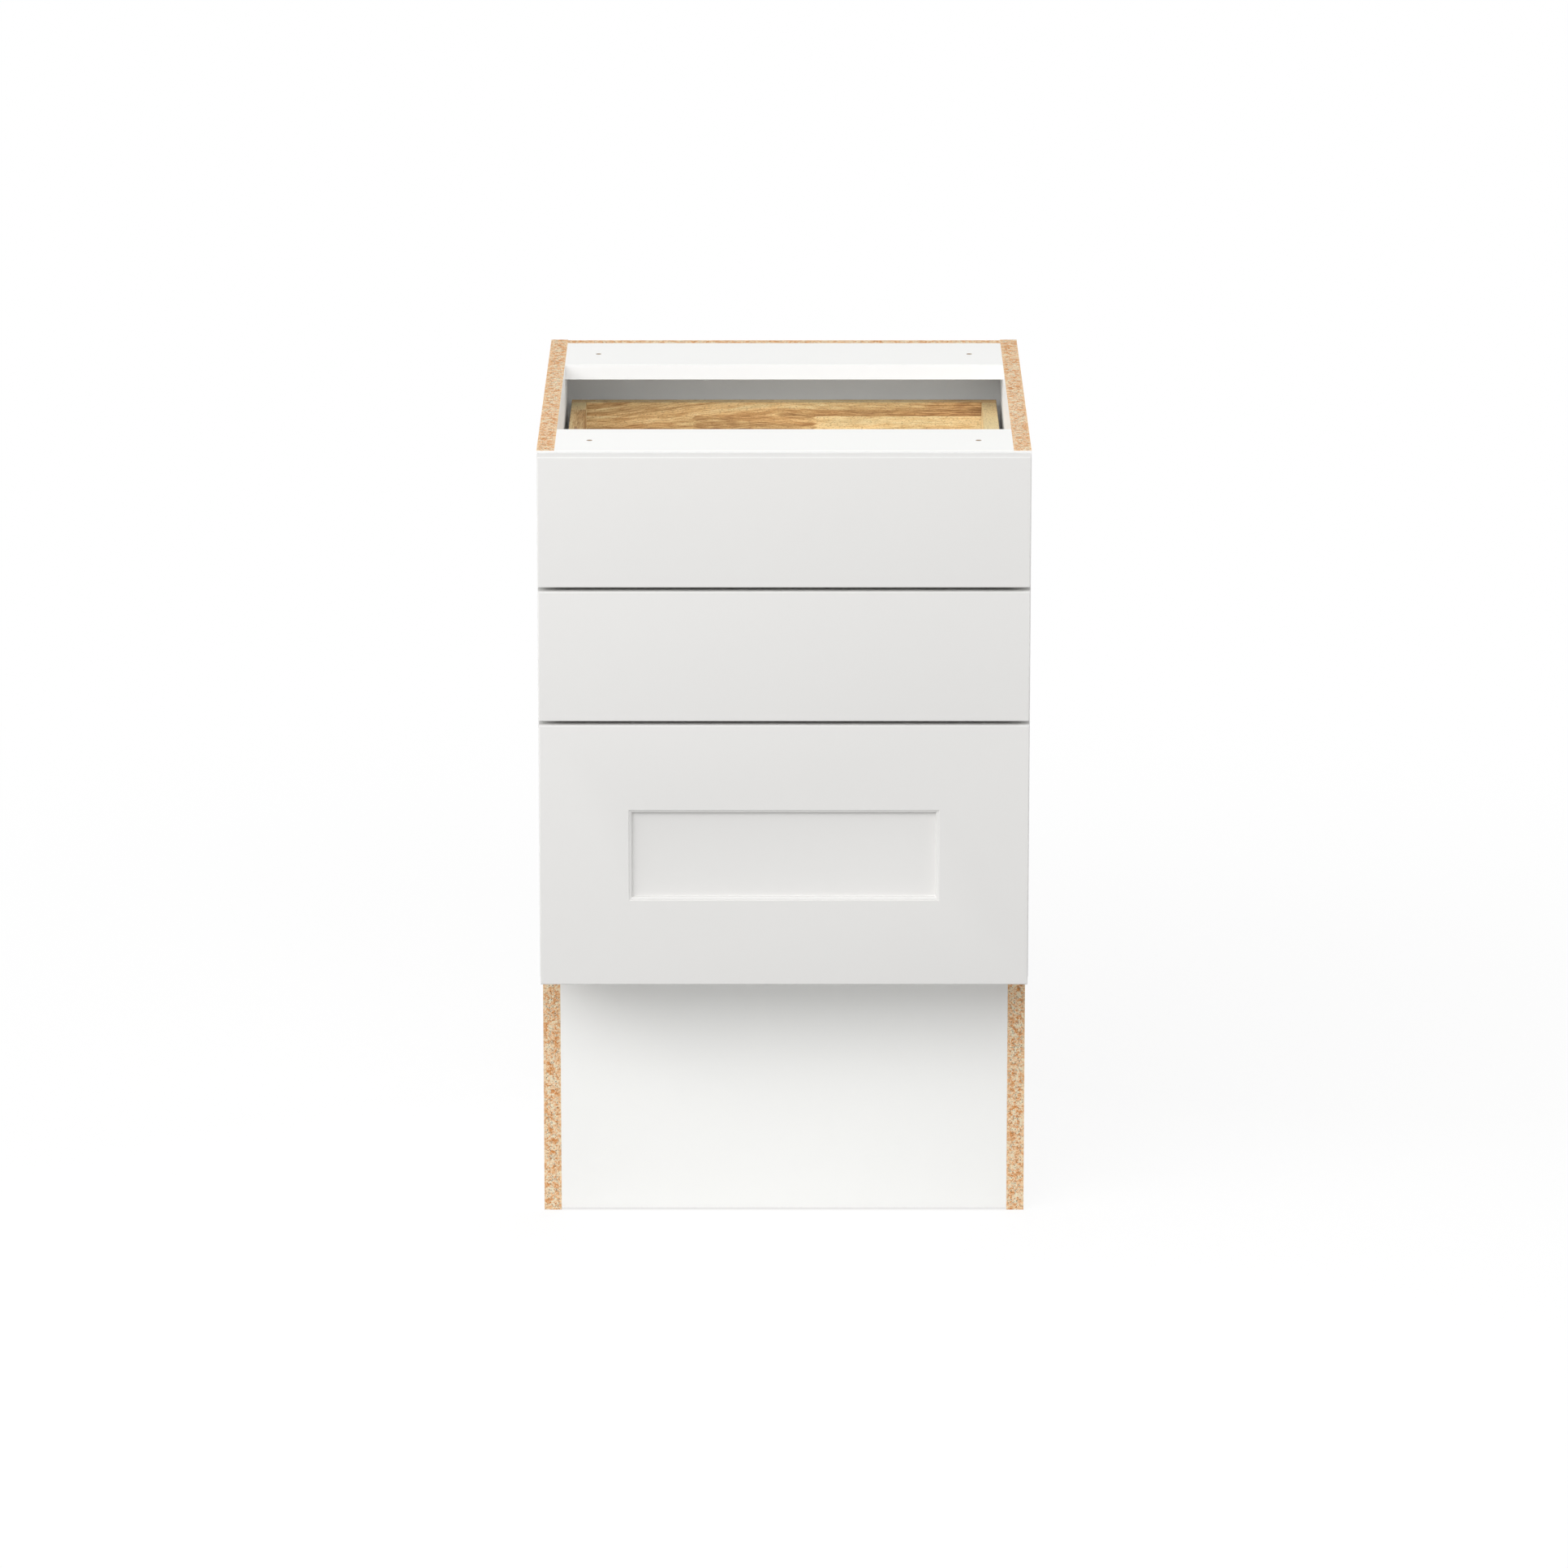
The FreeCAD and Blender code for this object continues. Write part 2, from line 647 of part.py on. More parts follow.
def box_end(drawer, name):
    """The front or back board of a box; the back is notched over the slides."""
    base, end = CORNERS[name]
    near = min(base, end, key=lambda size: size.value)
    board = Piece(f"{drawer.name}_box_{name}", x=-box_half, y=near, z=drawer.box_bottom)
    body = rectangle(-box_half, drawer.box_bottom, box_half, drawer.box_top)
    board.pad("XZ_Plane", body, base, end)
    front, rear, half = groove_range()
    low = drawer.box_bottom + S.base_recess
    groove = rectangle(-half, low, half, low + S.base_thickness)
    board.cut("XZ_Plane", groove, base, front if name == "front" else rear)
    if name == "front":
        board.bores("XZ_Plane", drawer.front_screws(), S.front_screw_diameter, base, end)
    else:
        notch_near = box_inner_half - S.notch_wall
        notch_far = notch_near - S.slide_gap - S.drawer_rail_width
        for way in map(towards, SIDES):
            notch = rectangle(way * notch_far, drawer.box_bottom, way * notch_near, low)
            board.cut("XZ_Plane", notch, base, end)
    for way in map(towards, SIDES):
        outer, inner = way * box_half, way * box_inner_half
        socket = board.cut("YZ_Plane", tail(drawer, base, end), outer, inner)
        board.repeat_upwards(socket, tail_pitch(drawer), drawer.tails)


def box_bottom(drawer):
    front, rear, half = groove_range()
    front, rear, half = front + S.groove_slack, rear - S.groove_slack, half - S.groove_slack
    low = drawer.box_bottom + S.base_recess
    base = Piece(f"{drawer.name}_box_bottom", x=-half, y=front, z=low)
    base.pad("XY_Plane", rectangle(-half, front, half, rear), low, low + S.base_thickness)


def drawer_front(drawer):
    """A plain slab; the lower one gets a sunk panel with a beaded edge."""
    front = Piece(f"{drawer.name}_drawer_front", x=-front_half, y=front_face, z=drawer.front_bottom)
    slab = rectangle(-front_half, drawer.front_bottom, front_half, drawer.front_top)
    front.pad("XZ_Plane", slab, front_face, front_back)
    hole_end = box_front_inside - S.front_screw_length
    front.bores("XZ_Plane", drawer.front_screws(), S.front_screw_diameter, front_back, hole_end)
    if drawer.name == "lower":
        half = front_half - S.stile_width
        low, high = drawer.front_bottom + S.rail_width, drawer.front_top - S.rail_width
        ledge = front_face + S.bead_step
        bead = S.bead_width
        front.cut("XZ_Plane", rectangle(-half, low, half, high), front_face, ledge)
        inner = rectangle(bead - half, low + bead, half - bead, high - bead)
        front.cut("XZ_Plane", inner, ledge, front_face + S.sunk_depth)
        front.round_edges(S.bead_radius, ledge, Size(0), half - bead)
    front.round_edges(S.front_edge_radius, front_face, front_half, front_half)


def front_screws(drawer):
    screws = Piece(f"{drawer.name}_front_screws")
    centres = drawer.front_screws()
    tip = box_front_inside - S.front_screw_length
    head = box_front_inside + S.front_screw_head_height
    screws.rods("XZ_Plane", centres, S.front_screw_diameter, box_front_inside, tip)
    screws.rods("XZ_Plane", centres, S.front_screw_head, box_front_inside, head)


def make_drawers():
    for drawer in drawers:
        drawer_front(drawer)
        for name in CORNERS:
            box_end(drawer, name)
        for side in SIDES:
            box_side(drawer, side)
        box_bottom(drawer)
        front_screws(drawer)


def check_and_write():
    """Stops if a feature failed or a piece isn't sound; otherwise writes one file for each piece."""
    document.recompute()
    failed = [thing.Label for thing in document.Objects if {"Invalid", "Error"} & set(thing.State)]
    unsound = [piece.Label for piece in pieces if piece.Shape.isNull() or not piece.Shape.isValid()]
    if failed or unsound:
        raise RuntimeError(f"failed features: {failed}; unsound pieces: {unsound}")
    os.makedirs("parts", exist_ok=True)
    for piece in pieces:
        piece.Shape.exportStep(f"parts/{piece.Label}.step")
        print(f"{piece.Label}: {len(piece.Shape.Solids)} solid(s), {piece.Shape.Volume / 1000:.1f} cm3")


make_carcass()
make_carcass_fasteners()
make_slides()
make_drawers()
check_and_write()
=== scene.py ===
"""Base cabinet with three drawers on a tall toe space: its finishes, its fasteners and its stage.

Positions are in metres in the cabinet's own frame: X to the right, Y to the back, Z up from the floor.
"""

import json
from collections import namedtuple
from math import copysign, cos, radians, sin, sqrt, tau

import bmesh
import bpy
from bpy.props import FloatProperty, FloatVectorProperty, IntProperty, PointerProperty
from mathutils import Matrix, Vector


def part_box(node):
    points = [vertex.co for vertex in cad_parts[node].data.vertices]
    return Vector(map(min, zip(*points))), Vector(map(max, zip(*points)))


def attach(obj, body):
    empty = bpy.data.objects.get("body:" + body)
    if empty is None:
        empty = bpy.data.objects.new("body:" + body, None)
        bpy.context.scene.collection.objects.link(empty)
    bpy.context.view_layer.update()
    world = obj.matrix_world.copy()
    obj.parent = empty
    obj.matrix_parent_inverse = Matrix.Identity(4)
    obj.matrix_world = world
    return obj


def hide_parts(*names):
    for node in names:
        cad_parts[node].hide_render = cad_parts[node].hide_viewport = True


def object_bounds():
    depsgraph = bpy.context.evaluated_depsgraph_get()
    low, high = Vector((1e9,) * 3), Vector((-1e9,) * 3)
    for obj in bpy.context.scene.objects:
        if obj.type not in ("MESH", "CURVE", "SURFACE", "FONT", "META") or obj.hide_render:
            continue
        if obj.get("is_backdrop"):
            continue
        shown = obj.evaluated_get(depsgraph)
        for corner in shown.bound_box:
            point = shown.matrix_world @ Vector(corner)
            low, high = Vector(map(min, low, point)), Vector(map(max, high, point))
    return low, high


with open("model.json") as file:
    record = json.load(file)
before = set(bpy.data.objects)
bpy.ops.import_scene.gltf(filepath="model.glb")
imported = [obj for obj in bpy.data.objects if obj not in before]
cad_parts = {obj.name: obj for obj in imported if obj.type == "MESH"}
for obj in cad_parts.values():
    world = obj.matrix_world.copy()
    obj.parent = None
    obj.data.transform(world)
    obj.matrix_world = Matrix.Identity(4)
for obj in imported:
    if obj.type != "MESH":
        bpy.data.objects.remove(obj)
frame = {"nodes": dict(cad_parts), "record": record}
CAD_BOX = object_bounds()

bl_info = {
    "name": "Base cabinet with drawers",
    "version": (1, 0, 0),
    "blender": (4, 5, 0),
    "location": "View3D > Sidebar > Cabinet",
    "description": "Finishes, fasteners and stage for a base cabinet with three drawers",
    "category": "Object",
}

MM = 0.001
X, Y, Z = 0, 1, 2
DRAWERS = ("upper", "middle", "lower")
SIDES = ("left", "right")


# Settings

def linear(red, green, blue):
    """A colour of sRGB levels from 0 to 255, as scene-linear values."""
    shares = [level / 255 for level in (red, green, blue)]
    return tuple(s / 12.92 if s <= 0.04045 else ((s + 0.055) / 1.055) ** 2.4 for s in shares) + (1,)


def colour(name, description, *levels):
    return FloatVectorProperty(name=name, description=description, subtype="COLOR", size=4, min=0, max=1,
                               default=linear(*levels))


def length(name, description, millimetres, largest=1000):
    return FloatProperty(name=name, description=description, subtype="DISTANCE", unit="LENGTH",
                         min=0, max=largest * MM, default=millimetres * MM, precision=5)


def share(name, description, default):
    return FloatProperty(name=name, description=description, subtype="FACTOR", min=0, max=1,
                         default=default)


def power(name, description, watts):
    return FloatProperty(name=name, description=description, unit="POWER", min=0, max=5000, default=watts)


class BoardSettings(bpy.types.PropertyGroup):
    """White-faced chipboard of the carcass."""

    face: colour("Face", "White melamine face", 252, 252, 250)
    band: colour("Edge band", "White plastic edge band", 244, 244, 243)
    cream: colour("Pale flakes", "Palest flakes of the raw chipboard", 255, 242, 212)
    peach: colour("Flakes", "Most flakes of the raw chipboard", 255, 213, 166)
    tan: colour("Dark flakes", "Darker flakes of the raw chipboard", 226, 150, 84)
    # This colour is for the real bark specks, and also for the painted shade that darkens the pits between
    # flakes.
    bark: colour("Bark", "Specks of bark and the pits between flakes", 112, 58, 28)
    flake: length("Flake", "Length of a flake in the raw edge", 1.8, 20)
    easing: length("Easing", "Eased edges of the boards", 0.25, 5)


class FrontSettings(bpy.types.PropertyGroup):
    """Painted drawer fronts."""

    paint: colour("Paint", "Warm light grey satin paint", 229, 228, 226)
    roughness: share("Roughness", "Roughness of the satin paint", 0.42)
    edge_radius: length("Edge radius", "Rounded edge of a front's face", 1.5, 5)
    arris: length("Arris", "Eased edge around the sunk panel and at the back", 0.35, 2)
    stile: length("Stile", "Upright border of the sunk panel", 91, 200)
    rail: length("Rail", "Level border of the sunk panel", 89, 200)
    step: length("Step", "Small step that starts the bead", 1.2, 5)
    ledge: length("Ledge", "Level ledge before the bead", 0.2, 5)
    bead: length("Bead", "Radius of the quarter-round bead", 3, 10)
    sunk: length("Sunk depth", "Sunk panel below the front's face", 7, 15)


class BoxSettings(bpy.types.PropertyGroup):
    """Finger-jointed hardwood of the drawer boxes."""

    pale: colour("Sapwood", "Palest wood", 242, 212, 156)
    golden: colour("Wood", "Most of the wood", 226, 186, 128)
    brown: colour("Heartwood", "Brown wood", 200, 152, 96)
    russet: colour("Dark streaks", "Darkest streaks of the grain", 146, 100, 58)
    stave_height: length("Stave height", "Height of the staves that a board is glued from", 38, 200)
    stave_length: length("Stave length", "Usual length of a stave", 230, 1000)
    finger: length("Finger", "Length of the fingers in a stave's joint", 6, 20)
    top_rounding: length("Top rounding", "Rounded top edges of a box", 1.2, 5)
    easing: length("Easing", "All other edges of a box", 0.25, 5)
    veneer: colour("Veneer", "Birch veneer of the box bottoms", 240, 226, 200)


class HardwareSettings(bpy.types.PropertyGroup):
    """Slides, clips, screws, dowels and bumpers."""

    zinc: colour("Zinc", "Galvanised sheet", 190, 193, 196)
    screw: colour("Screw", "Zinc-plated screws", 206, 206, 200)
    clip: colour("Clip", "Grey plastic of the locking clips", 118, 121, 124)
    beech: colour("Dowel", "Beech of the dowels", 214, 176, 134)
    drive: length("Hexagon socket", "Width of a connecting screw's socket across its flats", 4, 10)
    recess: length("Cross recess", "Width of the cross recess in the other screws", 5, 10)
    facets: IntProperty(name="Facets", description="Facets around a fastener", default=28, min=8, max=64)


class StageSettings(bpy.types.PropertyGroup):
    """Camera, floor and studio light."""

    eye_distance: length("Eye distance", "Camera in front of the cabinet's middle", 8710.5, 50000)
    eye_height: length("Eye height", "Camera above the floor", 2604.8, 10000)
    aim_height: length("Aim height", "Height on the cabinet that the camera looks at", 413, 2000)
    lens: FloatProperty(name="Lens", description="Focal length on a 36 mm sensor", default=195.9,
                        min=10, max=500)
    front: power("Front light", "Broad soft light from the front, above and to the left", 213)
    left: power("Left light", "Soft light from the left", 64)
    right: power("Right light", "Weaker soft light from the right", 66)
    behind: power("Back light", "Low soft light from behind", 75)
    top: power("Top light", "Soft light from straight above", 14)
    sky: share("Sky", "Even light from all around", 0.4)
    bounce: share("Floor bounce", "Light that the floor throws back at the cabinet", 0.41)
    shadow: share("Shadow", "How much of the floor's shade the camera sees", 0.22)


SETTINGS = {"cabinet_boards": BoardSettings, "cabinet_fronts": FrontSettings, "cabinet_boxes": BoxSettings,
            "cabinet_hardware": HardwareSettings, "cabinet_stage": StageSettings}


# Node trees: values that run through a tree, with arithmetic that adds the nodes for it.

def arithmetic(operation, swapped=False):
    def applied(self, other):
        return self.wiring.math(operation, *((other, self) if swapped else (self, other)))
    return applied


class Signal:
    """The output of a node. Arithmetic with it adds Math nodes to its tree."""

    __add__ = __radd__ = arithmetic("ADD")
    __sub__, __rsub__ = arithmetic("SUBTRACT"), arithmetic("SUBTRACT", swapped=True)
    __mul__ = __rmul__ = arithmetic("MULTIPLY")
    __truediv__, __rtruediv__ = arithmetic("DIVIDE"), arithmetic("DIVIDE", swapped=True)

    def __init__(self, wiring, socket):
        self.wiring = wiring
        self.socket = socket

    def __neg__(self):
        return self * -1

    def math(self, operation, *others):
        return self.wiring.math(operation, self, *others)

    def above(self, level):
        return self.math("GREATER_THAN", level)

    def between(self, start, end, low=0, high=1):
        """Rises smoothly from low to high where the value passes from start to end."""
        sockets = {"Value": self, "From Min": start, "From Max": end, "To Min": low, "To Max": high}
        return self.wiring.signal("MapRange", sockets, "Result", interpolation_type="SMOOTHSTEP")


class Wiring:
    """Adds nodes to a tree and joins them."""

    def __init__(self, tree):
        self.tree = tree

    @classmethod
    def of(cls, owner):
        """Of a material or a world, whose tree it empties first."""
        owner.use_nodes = True
        owner.node_tree.nodes.clear()
        return cls(owner.node_tree)

    def feed(self, socket, value):
        if isinstance(value, Signal):
            self.tree.links.new(value.socket, socket)
        else:
            socket.default_value = value

    def node(self, kind, sockets=None, **settings):
        """Adds a node; a kind that doesn't say where it belongs is a shader node."""
        node = self.tree.nodes.new(kind if "Node" in kind else f"ShaderNode{kind}")
        for name, value in settings.items():
            setattr(node, name, value)
        for key, value in (sockets or {}).items():
            self.feed(node.inputs[key], value)
        return node

    def signal(self, kind, sockets=None, output=0, **settings):
        return Signal(self, self.node(kind, sockets, **settings).outputs[output])

    def math(self, operation, *values):
        return self.signal("Math", dict(enumerate(values)), operation=operation)

    def split(self, vector):
        return [Signal(self, part) for part in self.node("SeparateXYZ", {0: vector}).outputs]

    def join(self, x, y, z):
        return self.signal("CombineXYZ", {0: x, 1: y, 2: z})

    def vector(self, operation, first, second):
        return self.signal("VectorMath", {0: first, 1: second}, operation=operation)

    def noise(self, vector, scale=1, detail=2, roughness=0.5, output="Fac"):
        sockets = {"Vector": vector, "Scale": scale, "Detail": detail, "Roughness": roughness}
        return self.signal("TexNoise", sockets, output)

    def cells(self, vector, scale):
        """Distance to the middle of the nearest cell, and a value of that cell's own."""
        node = self.node("TexVoronoi", {"Vector": vector, "Scale": scale})
        own = self.signal("SeparateColor", {0: Signal(self, node.outputs["Color"])})
        return Signal(self, node.outputs["Distance"]), own

    def random(self, vector):
        return self.signal("TexWhiteNoise", {"Vector": vector}, "Value")

    def mix(self, factor, first, second, blend="MIX"):
        return self.signal("Mix", {0: factor, 6: first, 7: second}, 2, data_type="RGBA",
                           blend_type=blend)

    def ladder(self, value, steps):
        """A colour that passes through (level, colour) steps as the value rises."""
        (level, mixed), *rest = steps
        for following, tint in rest:
            sockets = {"Value": value, "From Min": level, "From Max": following}
            mixed = self.mix(self.signal("MapRange", sockets, "Result"), mixed, tint)
            level = following
        return mixed

    def bump(self, height, distance, strength):
        return self.signal("Bump", {"Height": height, "Distance": distance, "Strength": strength})


def label(name):
    """A socket's name, from the name that it has in this file."""
    return name.replace("_", " ").capitalize()


def node_group(name, kind, inputs, outputs, make):
    """A node group, added once; make(wiring, and its inputs by name) gives its outputs by name."""
    if name in bpy.data.node_groups:
        return bpy.data.node_groups[name]
    tree = bpy.data.node_groups.new(name, kind)
    for direction, sockets in (("INPUT", inputs), ("OUTPUT", outputs)):
        for socket, form in sockets.items():
            tree.interface.new_socket(label(socket), in_out=direction, socket_type=f"NodeSocket{form}")
    wiring = Wiring(tree)
    entry = tree.nodes.new("NodeGroupInput")
    given = {socket: Signal(wiring, entry.outputs[label(socket)]) for socket in inputs}
    ending = tree.nodes.new("NodeGroupOutput")
    for socket, signal in make(wiring, **given).items():
        wiring.feed(ending.inputs[label(socket)], signal)
    return tree


def shader_group(**outputs):
    """Turns a function, whose parameters say what they are, into one that gives its group."""
    def wrapped(make):
        name, inputs = label(make.__name__), make.__annotations__
        return lambda: node_group(name, "ShaderNodeTree", inputs, outputs, make)
    return wrapped


@shader_group(factor="Float")
def mottling(w, vector: "Vector", scale: "Float", amount: "Float"):
    """A slow, faint variation of a surface, around 1."""
    return {"factor": (w.noise(vector, scale, detail=3) - 0.5) * amount + 1}


@shader_group(height="Float")
def fine_texture(w, vector: "Vector", scale: "Float"):
    """The fine relief of pressed or sprayed surfaces."""
    swell = w.noise(vector, scale * 0.18, detail=1)
    return {"height": w.noise(vector, scale, roughness=0.6) * 0.6 + swell * 0.4}


@shader_group(color="Color", height="Float")
def chipboard_core(w, vector: "Vector", flake: "Float", pale_flakes: "Color", flakes: "Color",
                   dark_flakes: "Color", bark: "Color"):
    """Pressed flakes of the raw board: a colour of its own for each flake, with pits between them painted
    dark as shade.
    """
    loose = w.noise(vector, 0.42 / flake, detail=1, output="Color")
    drift = w.vector("MULTIPLY", w.vector("SUBTRACT", loose, (0.5,) * 3), (1.6 * MM,) * 3)
    place = w.vector("ADD", vector, drift)
    edge, large = w.cells(place, 1 / flake)
    small_edge, small = w.cells(w.vector("MULTIPLY", place, (1.6, 1, 1.3)), 2.1 / flake)
    tone = large * 0.5 + small * 0.4 + (w.noise(vector, 0.3 / flake) - 0.5) * 1.3 + 0.07
    colour = w.ladder(tone, [(0.24, dark_flakes), (0.42, flakes), (0.56, flakes), (0.68, pale_flakes)])
    # Painted shade: the pits between flakes are mixed towards the dark colour; the specks and dots are real
    # bark.
    pits = edge.between(0.55, 0.85) * 0.4 + small_edge.between(0.6, 0.9) * 0.3
    specks = w.noise(place, 1.9 / flake).between(0.64, 0.72)
    dots = large.above(0.9) * edge.between(0.3, 0.45, 0.85, 0)
    dark = w.math("MAXIMUM", w.math("MAXIMUM", pits, specks * 0.75), dots)
    return {"color": w.mix(dark, colour, bark), "height": (small + large) * 0.5 - pits - specks * 0.5}


@shader_group(color="Color", height="Float")
def wood_grain(w, vector: "Vector", seed: "Float", tone: "Float", lean: "Float", sapwood: "Color",
               wood: "Color", heartwood: "Color", dark_streaks: "Color"):
    """Long grain with streaks, fibres and pores. The vector runs along, across and through the board."""
    along, across, through = w.split(vector)
    sway = w.noise(w.join(along * 6 + seed * 3.7, across * 14, seed)) - 0.5
    level = across - along * lean + sway * 0.012
    broad = w.noise(w.join(along * 5 + seed * 11, level * 95, through * 60 + seed), roughness=0.55)
    bands = w.noise(w.join(along * 9 + seed * 5, level * 330, through * 200), detail=3,
                    roughness=0.6)
    fibres = w.noise(w.join(along * 60, level * 900, through * 800), detail=3)
    pores = w.noise(w.join(along * 420 + seed, level * 1050, through * 1050), detail=1)
    pores = pores.between(0.52, 0.72)
    tone = tone + (broad - 0.5) * 1.3 + (bands - 0.5) * 1.1 + (fibres - 0.5) * 1.8
    colour = w.ladder(tone, [(0, sapwood), (0.38, wood), (0.72, heartwood), (1.15, dark_streaks)])
    olive = w.noise(w.join(along * 7 + seed * 5, level * 60, seed * 2)).between(0.42, 0.62)
    colour = w.mix(olive, w.mix(pores * 0.55, colour, dark_streaks), (0.9, 0.96, 1, 1), "MULTIPLY")
    return {"color": colour, "height": fibres * 0.5 + bands * 0.3 - pores}


@shader_group(color="Color", height="Float")
def end_grain(w, vector: "Vector", seed: "Float", tone: "Float", wood: "Color", heartwood: "Color",
              dark_streaks: "Color"):
    """Growth rings and pores where a board is cut across."""
    across, through, depth = w.split(vector)
    middle = (w.random(w.join(seed, 1, 9)) - 0.5) * 0.1
    far = through + 0.05 + w.random(w.join(seed, 5, 2)) * 0.05
    reach = w.math("SQRT", (across - middle) * (across - middle) + far * far)
    rings = w.math("SINE", reach * 2600 + w.noise(vector, 90) * 7) * 0.5 + 0.5
    pores = w.noise(w.join(across, through, depth * 0.1), 1700, detail=1).between(0.6, 0.7)
    colour = w.ladder(tone * 0.5 + 0.35 + rings * 0.3, [(0, wood), (0.55, heartwood), (1.1, dark_streaks)])
    return {"color": w.mix(pores * 0.6, colour, dark_streaks), "height": rings * 0.3 - pores}


@shader_group(shade="Float", roughness="Float", height="Float")
def zinc_spangle(w, vector: "Vector", scale: "Float"):
    """Crystals of a zinc coat, and fine lines along the sheet."""
    _, own = w.cells(vector, scale)
    lines = w.noise(w.vector("MULTIPLY", vector, (900, 12, 900)))
    return {"shade": own * 0.16 + lines * 0.14 + 0.8, "roughness": own * 0.14 + lines * 0.12 + 0.24,
            "height": lines}


# Finishes

# How squarely a surface has to face an axis to count as a face across it: the cosine of 44 degrees.
FACING = 0.72


class Surface:
    """A material with a Principled BSDF, its object coordinates and its normal."""

    def __init__(self, name, **constants):
        self.material = bpy.data.materials.new(name)
        self.wiring = Wiring.of(self.material)
        self.shader = self.wiring.node("BsdfPrincipled")
        shaded = Signal(self.wiring, self.shader.outputs["BSDF"])
        self.wiring.node("OutputMaterial", {"Surface": shaded})
        place = self.wiring.node("TexCoord")
        self.position = Signal(self.wiring, place.outputs["Object"])
        self.normal = Signal(self.wiring, place.outputs["Normal"])
        self.set(**constants)

    def set(self, **values):
        for name, value in values.items():
            self.wiring.feed(self.shader.inputs[name.replace("_", " ")], value)

    def place(self, group, **values):
        """Places a group, at the object's coordinates unless told where, and gives its outputs by name."""
        sockets = {label(name): value for name, value in {"vector": self.position, **values}.items()}
        node = self.wiring.node("Group", sockets, node_tree=group)
        return {socket.name: Signal(self.wiring, socket) for socket in node.outputs}

    def facing(self, axis):
        """1 where the surface faces along the axis, either way."""
        return self.wiring.split(self.normal)[axis].math("ABSOLUTE").above(FACING)

    def mottled(self, scale, amount):
        """A factor around 1 that varies slowly over the surface."""
        return self.place(mottling(), scale=scale, amount=amount)["Factor"]

    def relief(self, scale, depth, strength):
        texture = self.place(fine_texture(), scale=scale)
        return self.wiring.bump(texture["Height"], depth, strength)

    def shaded(self, tint, factor):
        """The tint made lighter or darker by the factor."""
        return self.wiring.mix(1, tint, self.wiring.join(factor, factor, factor), "MULTIPLY")


def even_finish(name, tint, stain, polish, roughness, relief, **constants):
    """One colour with a fine relief. Stain and polish are scale and amount of its mottled tint and gloss."""
    surface = Surface(name, **constants)
    surface.set(Base_Color=surface.shaded(tint, surface.mottled(*stain)),
                Roughness=surface.mottled(*polish) * roughness, Normal=surface.relief(*relief))
    return surface.material


# The worktop holes in the rails; their walls are painted greyer than the other raw cuts, as painted shade.
HOLES_ASIDE, HOLE_REACH = 197.5 * MM, 4 * MM
HOLES_BEHIND = {"front_top_rail": -227.5 * MM, "rear_top_rail": 221.5 * MM}


def faced_board(node, axis):
    """White melamine on the two faces across the axis, and raw chipboard on all other cuts."""
    look = bpy.context.scene.cabinet_boards
    surface = Surface(f"faced_chipboard_{node}", Specular_IOR_Level=0.3)
    w = surface.wiring
    low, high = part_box(node)
    half = (high[axis] - low[axis]) / 2
    from_face = half - (w.split(surface.position)[axis] - (low[axis] + half)).math("ABSOLUTE")
    on_face = surface.facing(axis)
    core = surface.place(chipboard_core(), flake=look.flake, pale_flakes=look.cream, flakes=look.peach,
                         dark_flakes=look.tan, bark=look.bark)
    raw = w.mix(from_face.between(0.5 * MM, 4 * MM, 0.35, 0), core["Color"], look.peach)
    raw = w.mix(from_face.between(0.12 * MM, 0.3 * MM, 0.6, 0), raw, look.cream)
    if node in HOLES_BEHIND:
        x, y, _ = w.split(surface.position)
        aside, behind = x.math("ABSOLUTE") - HOLES_ASIDE, y - HOLES_BEHIND[node]
        inside = w.math("LESS_THAN", aside * aside + behind * behind, HOLE_REACH ** 2)
        # Painted shade: inside a worktop hole the raw cut is mixed towards grey.
        raw = w.mix(inside * 0.6, raw, linear(112, 106, 98))
    reliefs = {4: w.bump(core["Height"], 0.45 * MM, 0.8), 5: surface.relief(2600, 0.03 * MM, 0.35)}
    surface.set(Base_Color=w.mix(on_face, raw, surface.shaded(look.face, surface.mottled(9, 0.012))),
                Roughness=on_face * (surface.mottled(21, 0.25) * 0.4 - 0.92) + 0.92,
                Normal=w.signal("Mix", {0: on_face, **reliefs}, 1, data_type="VECTOR"))
    return surface.material


def plastic_band():
    """White plastic band: a little glossier than the melamine, with fine lines along it."""
    band = bpy.context.scene.cabinet_boards.band
    return even_finish("white_edge_band", band, (14, 0.015), (40, 0.3), 0.36, (1800, 0.03 * MM, 0.4))


def satin_paint():
    """Sprayed satin paint with a faint orange-peel relief."""
    look = bpy.context.scene.cabinet_fronts
    return even_finish("satin_paint", look.paint, (6, 0.014), (30, 0.18), look.roughness,
                       (900, 0.05 * MM, 0.3), Coat_Weight=0.08, Coat_Roughness=0.35)


# A stave: where it starts along its board, how brown it is, how much its grain rises along the board,
# how much paler it gets from its foot up (over a stave's height) and browner along the board (a metre).
Stave = namedtuple("Stave", "start tone lean rise drift", defaults=(0, 0, 0))


def random_staves(w, along, across, through):
    """Seed, tone and lean of the stave that a point lies in, on boards whose staves aren't known."""
    look = bpy.context.scene.cabinet_boxes
    board = (through / 0.1).math("FLOOR")
    row = (across / look.stave_height + board * 0.37).math("FLOOR")
    shift = w.random(w.join(row, board, 4))
    number = (along / look.stave_length + shift * 5).math("FLOOR")
    seed = w.random(w.join(number, row, board)) * 40
    lean = (w.random(w.join(seed, 7, 3)) - 0.5) * 0.16
    return seed, w.random(w.join(number, board, row)) * 0.55 + 0.1, lean


def stepped(place, steps):
    """The value of the last (start, value) step that the place has passed."""
    reached = steps[0][1]
    for (_, before), (start, value) in zip(steps, steps[1:]):
        if value != before:
            reached = place.above(start) * (value - before) + reached
    return reached


